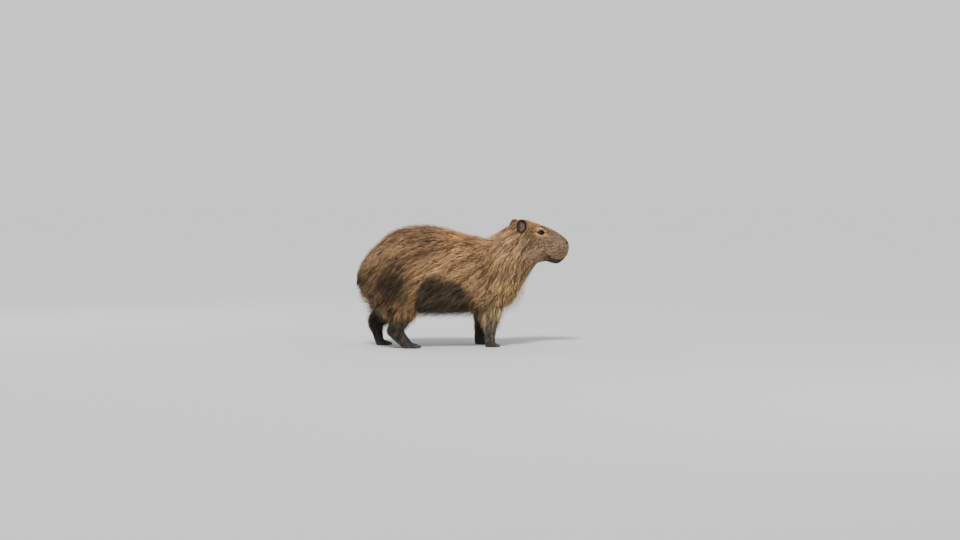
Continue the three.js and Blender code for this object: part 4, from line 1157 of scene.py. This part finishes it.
def earPiece(side):
    # the rings run up the back of the cup to its rim and down again into the bowl; the directions are those
    # of the ear's own axes
    rings = 52
    i = np.arange(rings + 1)
    outer = i < rings / 2
    reach = np.maximum(np.where(outer, i * 2 / rings, 2 - i * 2 / rings), 0.03)
    angle = turns(72)
    spread = np.sin(reach * math.pi / 2) ** 0.75
    rimRound = np.sqrt(np.clip((1 - reach) / 0.12, 0, 1))
    front = 1 + 0.7 * smoothStep(-np.cos(angle) * 0.8 + 0.4 * np.sin(angle))
    thin = np.where(outer, 0, ear["wall"] * rimRound)[:, None] * front
    across = np.cos(angle) * (spread[:, None] * (ear["width"] / 2 - thin))
    up = np.sin(angle) * (spread[:, None] * (ear["height"] / 2 - thin))
    shell = np.where(outer, ear["wall"] * (1 - reach * 0.5) * rimRound, 0)
    out = (-ear["bowl"] * (1 - reach ** 2) - shell)[:, None] + 0 * across
    inner = (~outer)[:, None] * below(reach, 0.97, 0.25)[:, None]
    ridge = bell(across + 1 - up * 0.12, 2.6) * above(up, -20, 16) * below(up, 22, 10)
    shadedHollow = np.exp(-((across - 7) / 5.5) ** 2 - ((up + 9) / 12) ** 2)
    fold = bell(across + 11, 2.2) * below(np.abs(up), 18, 8)
    out = out + inner * (4.2 * ridge - 1.6 * shadedHollow + 2.6 * fold)
    out = out + 0.5 * np.sin(5 * angle + 1) * (reach ** 4)[:, None]
    grid = earMiddle + np.stack([across, up, out], -1) @ earAxes
    points, faces = closedGrid(grid * [1, side, 1])
    colour = evenColour(earTones["cup"], len(points))
    # pinkish skin inside the bowl, paler on the raised ridge and fold as a painted highlight
    colour = mixed(colour, earTones["ridge"], np.append(inner * (0.15 + 0.7 * ridge + 0.6 * fold), [0, 0]))
    # painted shade: the low hollow in the bowl darkened
    colour = mixed(colour, earTones["shadedHollow"], np.append(0.9 * inner * shadedHollow, [0, 0]))
    colour = colour * (0.95 + 0.15 * waves(points, 9, 50))[:, None]
    cup = meshPiece(handed("ear", side), points, faces, earSkin, marking=colour)
    # short hair on the back of the cup and over its rim
    quads, ends = faces
    triangles = np.concatenate([quads[:, [0, 1, 2]], quads[:, [0, 2, 3]], ends])
    bare = np.append(inner * (reach < 0.9)[:, None] + 0 * across, [0, 1])
    weight = np.maximum(1 - bare[triangles].mean(1), 0.02)
    root, normal, corners = rootsOn(points, triangles, vertexNormals(points, triangles), weight, 3200)
    lie = earAxes[1] * [1, side, 1] + np.array([-0.5, 0, -0.1])
    lie = unit(lie - normal * (normal @ lie)[:, None])
    lie = turnedAbout(lie, normal, random.normal(0, 0.3, len(root)))
    atRim = above((mirrored(root) - earMiddle) @ earAxes[2], -9, 6)
    length = random.uniform(3.5, 7, len(root))
    bend = random.normal(0, 0.1, len(root))
    shade = np.clip(random.normal(0.45, 0.2, len(root)), 0, 1)
    marking = mixed(evenColour(earTones["hair"], len(root)), earTones["rimHair"], atRim)
    hair = tuftMesh(handed("ear", side) + "Hair", (0, 0.5), 0.6, 0, root, normal, lie, length,
                    0 * length + 0.9, length * 0.22, 0 * length, bend, marking, shade)
    return cup, hair


earSkin = skinMaterial("earSkin", 0.55, 700.0, 0.0003, 0.4)
for side, node in ((-1, "ear_right"), (1, "ear_left")):
    earCup, earHair = earPiece(side)
    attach(earCup, "root")
    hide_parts(node)
    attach(earHair, "root")
print("stage: ears made")


# Lids: a dark rim along the opening and a pale line under it, both as fine tubes on the lids' bulge.
def lidTube(along, up, radius, closed):
    # a tube round a path on the bulge: its height over the eye's middle is that of the lids' ellipsoid
    outer = eye["radius"] + eye["lid"] + 0.4
    wide, tall, deep = eye["lidStretch"]
    height = outer * np.sqrt(np.maximum(1 - (along / (wide * outer)) ** 2 - (up / (tall * outer)) ** 2, 0.02))
    path = np.stack([along, up, height], -1)
    ahead = unit(np.roll(path, -1, 0) - np.roll(path, 1, 0) if closed else np.gradient(path, axis=0))
    out = unit(path / np.square(eye["lidStretch"]))
    turn = turns(12)[:, None]
    ring = np.cos(turn) * out[:, None] * 0.7 + np.sin(turn) * np.cross(ahead, out)[:, None]
    return path[:, None] + radius[:, None, None] * ring


def lidPieces(side):
    edge = almondOutline(0.05) * eye["radius"]
    edge = np.concatenate([edge, edge[:1]])
    step = np.linspace(0, 1, 120, endpoint=False) * (len(edge) - 1)
    across, up = (np.interp(step, np.arange(len(edge)), values) for values in edge.T)
    rim = lidTube(across, up, np.full(120, 1.0), True)
    turn = np.linspace(-1, 1, 60)
    low = -(1 - turn ** 2) * (eye["down"] + 0.46) - eye["drop"] - 0.02
    taper = np.sqrt(np.maximum(1 - turn ** 2, 0.01))
    line = lidTube(1.2 * turn * eye["radius"], low * eye["radius"], 1.25 * taper, False)
    rim, line = ((eyeCentre + grid @ eyeAxes) * [1, side, 1] for grid in (rim, line))
    index = np.arange(rim[..., 0].size).reshape(rim.shape[:2])
    after, onward = np.roll(index, -1, 1), np.roll(index, -1, 0)
    quads = np.stack([index, after, np.roll(onward, -1, 1), onward], -1).reshape(-1, 4)
    points, faces = gathered([(rim.reshape(-1, 3), [quads if side < 0 else quads[:, ::-1]]),
                              closedGrid(line)])
    rimMarking = evenColour(markings["lid"], index.size)
    lineMarking = evenColour(markings["lidLine"], len(points) - index.size)
    return meshPiece(handed("lids", side), points, faces, lidSkin,
                     marking=np.concatenate([rimMarking, lineMarking]))


lidSkin = skinMaterial("lidSkin", 0.6, 900.0, 0.0003, 0.25)
for side in (-1, 1):
    lids = lidPieces(side)
    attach(lids, "root")
print("stage: lids made")


# Whiskers: thin bristles in rows on the muzzle that swing back and down.
whisker = {"rows": 4, "columns": 5, "first": (452, 476), "step": (9.5, -8.5), "length": (26, 62),
           "thick": 0.42, "tone": (58, 48, 40)}


def whiskerForm(side, column, row):
    x = whisker["first"][0] + whisker["step"][0] * column + random.uniform(-2, 2)
    z = whisker["first"][1] + whisker["step"][1] * row + random.uniform(-2, 2)
    root, normal = placeOnBody(x, z)
    length = random.uniform(*whisker["length"])
    ahead = unit(normal + np.array([-0.75, 0, -0.25]) + random.normal(0, 0.1, 3))
    share = np.linspace(0, 1, 7)[:, None]
    path = root - normal * 2 + ahead * share * length + np.array([-0.16, 0, -0.3]) * length * share ** 2
    thick = whisker["thick"] * (1.05 - share)
    sideways = unit(np.cross(ahead, [0, 0, 1]))
    turn = turns(5)[:, None]
    ring = np.cos(turn) * sideways + np.sin(turn) * np.cross(sideways, ahead)
    return closedGrid((path[:, None] + ring[None] * thick[..., None]) * [1, side, 1])


def whiskerSet():
    points, faces = gathered([
        whiskerForm(side, column, row)
        for side in (-1, 1) for row in range(whisker["rows"]) for column in range(whisker["columns"])])
    count = len(points)
    return meshPiece("whiskers", points, faces, coatHair, marking=evenColour(whisker["tone"], count),
                     along=np.full(count, 0.7), shade=np.full(count, 0.5))


whiskers = whiskerSet()
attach(whiskers, "root")
print("stage: whiskers made")


# Nails, like small blunt hoofs.
def nailMaterial():
    material, tree, shader = newMaterial("nailHorn", 0.38)
    place = addNode(tree, "ShaderNodeTexCoord")
    noise = addNode(tree, "ShaderNodeTexNoise")
    noise.inputs["Scale"].default_value = 260
    tree.links.new(place.outputs["Object"], noise.inputs["Vector"])
    colour = rampNode(tree, noise.outputs["Fac"], (0, (0.018, 0.014, 0.012)), (1, (0.07, 0.056, 0.045)))
    tree.links.new(colour, shader.inputs["Base Color"])
    return material


nailHorn = nailMaterial()
for name, leg in legs.items():
    nails = toeForms(leg)[1]
    nailSet = meshPiece("nails" + name[0].upper() + name[1:],
                        *gathered([closedGrid(nail) for nail in nails]), nailHorn)
    hand = "right" if leg["side"] < 0 else "left"
    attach(nailSet, "root")
    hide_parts(*[leg["kind"] + "_nail_" + hand + "_" + str(i + 1) for i in range(len(nails))])
print("stage: nails made")


# Floor, light and camera.
studio = {
    "sky": (0.8, 0.82, 0.85), "strength": 0.72, "floor": (0.72, 0.715, 0.705), "backdrop": (0.99, 0.995, 1.0),
    # place, target, power and width; the one with no width is an even light from far off, over that angle
    "lights": {
        "overhead": ((-0.6, -1.9, 2.7), (0, 0, 0.3), 3.4, 0),
        "front": ((2.0, -3.4, 2.2), (0.1, 0, 0.4), 26, 1.4),
        "back": ((-2.4, 2.4, 2.2), (0, 0, 0.35), 22, 1.8),
    },
    "farAngle": math.radians(14),
}
view = {"azimuth": -8, "distance": 9, "height": 0.725, "aside": 0.078, "down": 2.29, "lens": 70.31}


def plainFloor():
    mesh = bpy.data.meshes.new("floor")
    angle = turns(96)
    points = np.stack([90 * np.cos(angle), 90 * np.sin(angle), 0 * angle], -1)
    mesh.from_pydata(points.tolist(), [], [list(range(96))])
    material, tree, shader = newMaterial("floorPaint", 0.8)
    shader.inputs["Base Color"].default_value = (*studio["floor"], 1)
    mesh.materials.append(material)
    floor = bpy.data.objects.new("floor", mesh)
    bpy.context.scene.collection.objects.link(floor)


def softLight(name, place, target, power, width):
    lamp = bpy.data.lights.new(name, "AREA" if width else "SUN")
    lamp.energy = power
    if width:
        lamp.shape = "DISK"
        lamp.size = width
    else:
        lamp.angle = studio["farAngle"]
    light = bpy.data.objects.new(name, lamp)
    light.location = place
    light.rotation_euler = (Vector(target) - Vector(place)).to_track_quat("-Z", "Y").to_euler()
    bpy.context.scene.collection.objects.link(light)


def studioWorld():
    # a pale surround; seen straight on it has the brightness that the far floor has under it, so no horizon
    # shows
    world = bpy.data.worlds.new("studio")
    world.use_nodes = True
    tree = world.node_tree
    plain = tree.nodes["Background"]
    plain.inputs["Color"].default_value = (*studio["sky"], 1)
    plain.inputs["Strength"].default_value = studio["strength"]
    seen = addNode(tree, "ShaderNodeBackground")
    seen.inputs["Color"].default_value = (*studio["backdrop"], 1)
    seen.inputs["Strength"].default_value = 1
    path = addNode(tree, "ShaderNodeLightPath")
    both = addNode(tree, "ShaderNodeMixShader")
    tree.links.new(path.outputs["Is Camera Ray"], both.inputs[0])
    tree.links.new(plain.outputs["Background"], both.inputs[1])
    tree.links.new(seen.outputs["Background"], both.inputs[2])
    tree.links.new(both.outputs["Shader"], tree.nodes["World Output"].inputs["Surface"])
    bpy.context.scene.world = world


plainFloor()
studioWorld()
for name, values in studio["lights"].items():
    softLight(name, *values)

turn, tip = math.radians(view["azimuth"]), math.radians(view["down"])
camera = bpy.data.objects.new("camera", bpy.data.cameras.new("camera"))
camera.data.lens = view["lens"]
right = Vector((math.cos(turn), math.sin(turn), 0))
camera.location = Vector((math.sin(turn), -math.cos(turn), 0)) * view["distance"] + right * view["aside"]
camera.location.z = view["height"]
ahead = Vector((-math.sin(turn) * math.cos(tip), math.cos(turn) * math.cos(tip), -math.sin(tip)))
camera.rotation_euler = ahead.to_track_quat("-Z", "Y").to_euler()
bpy.context.scene.collection.objects.link(camera)
bpy.context.scene.camera = camera
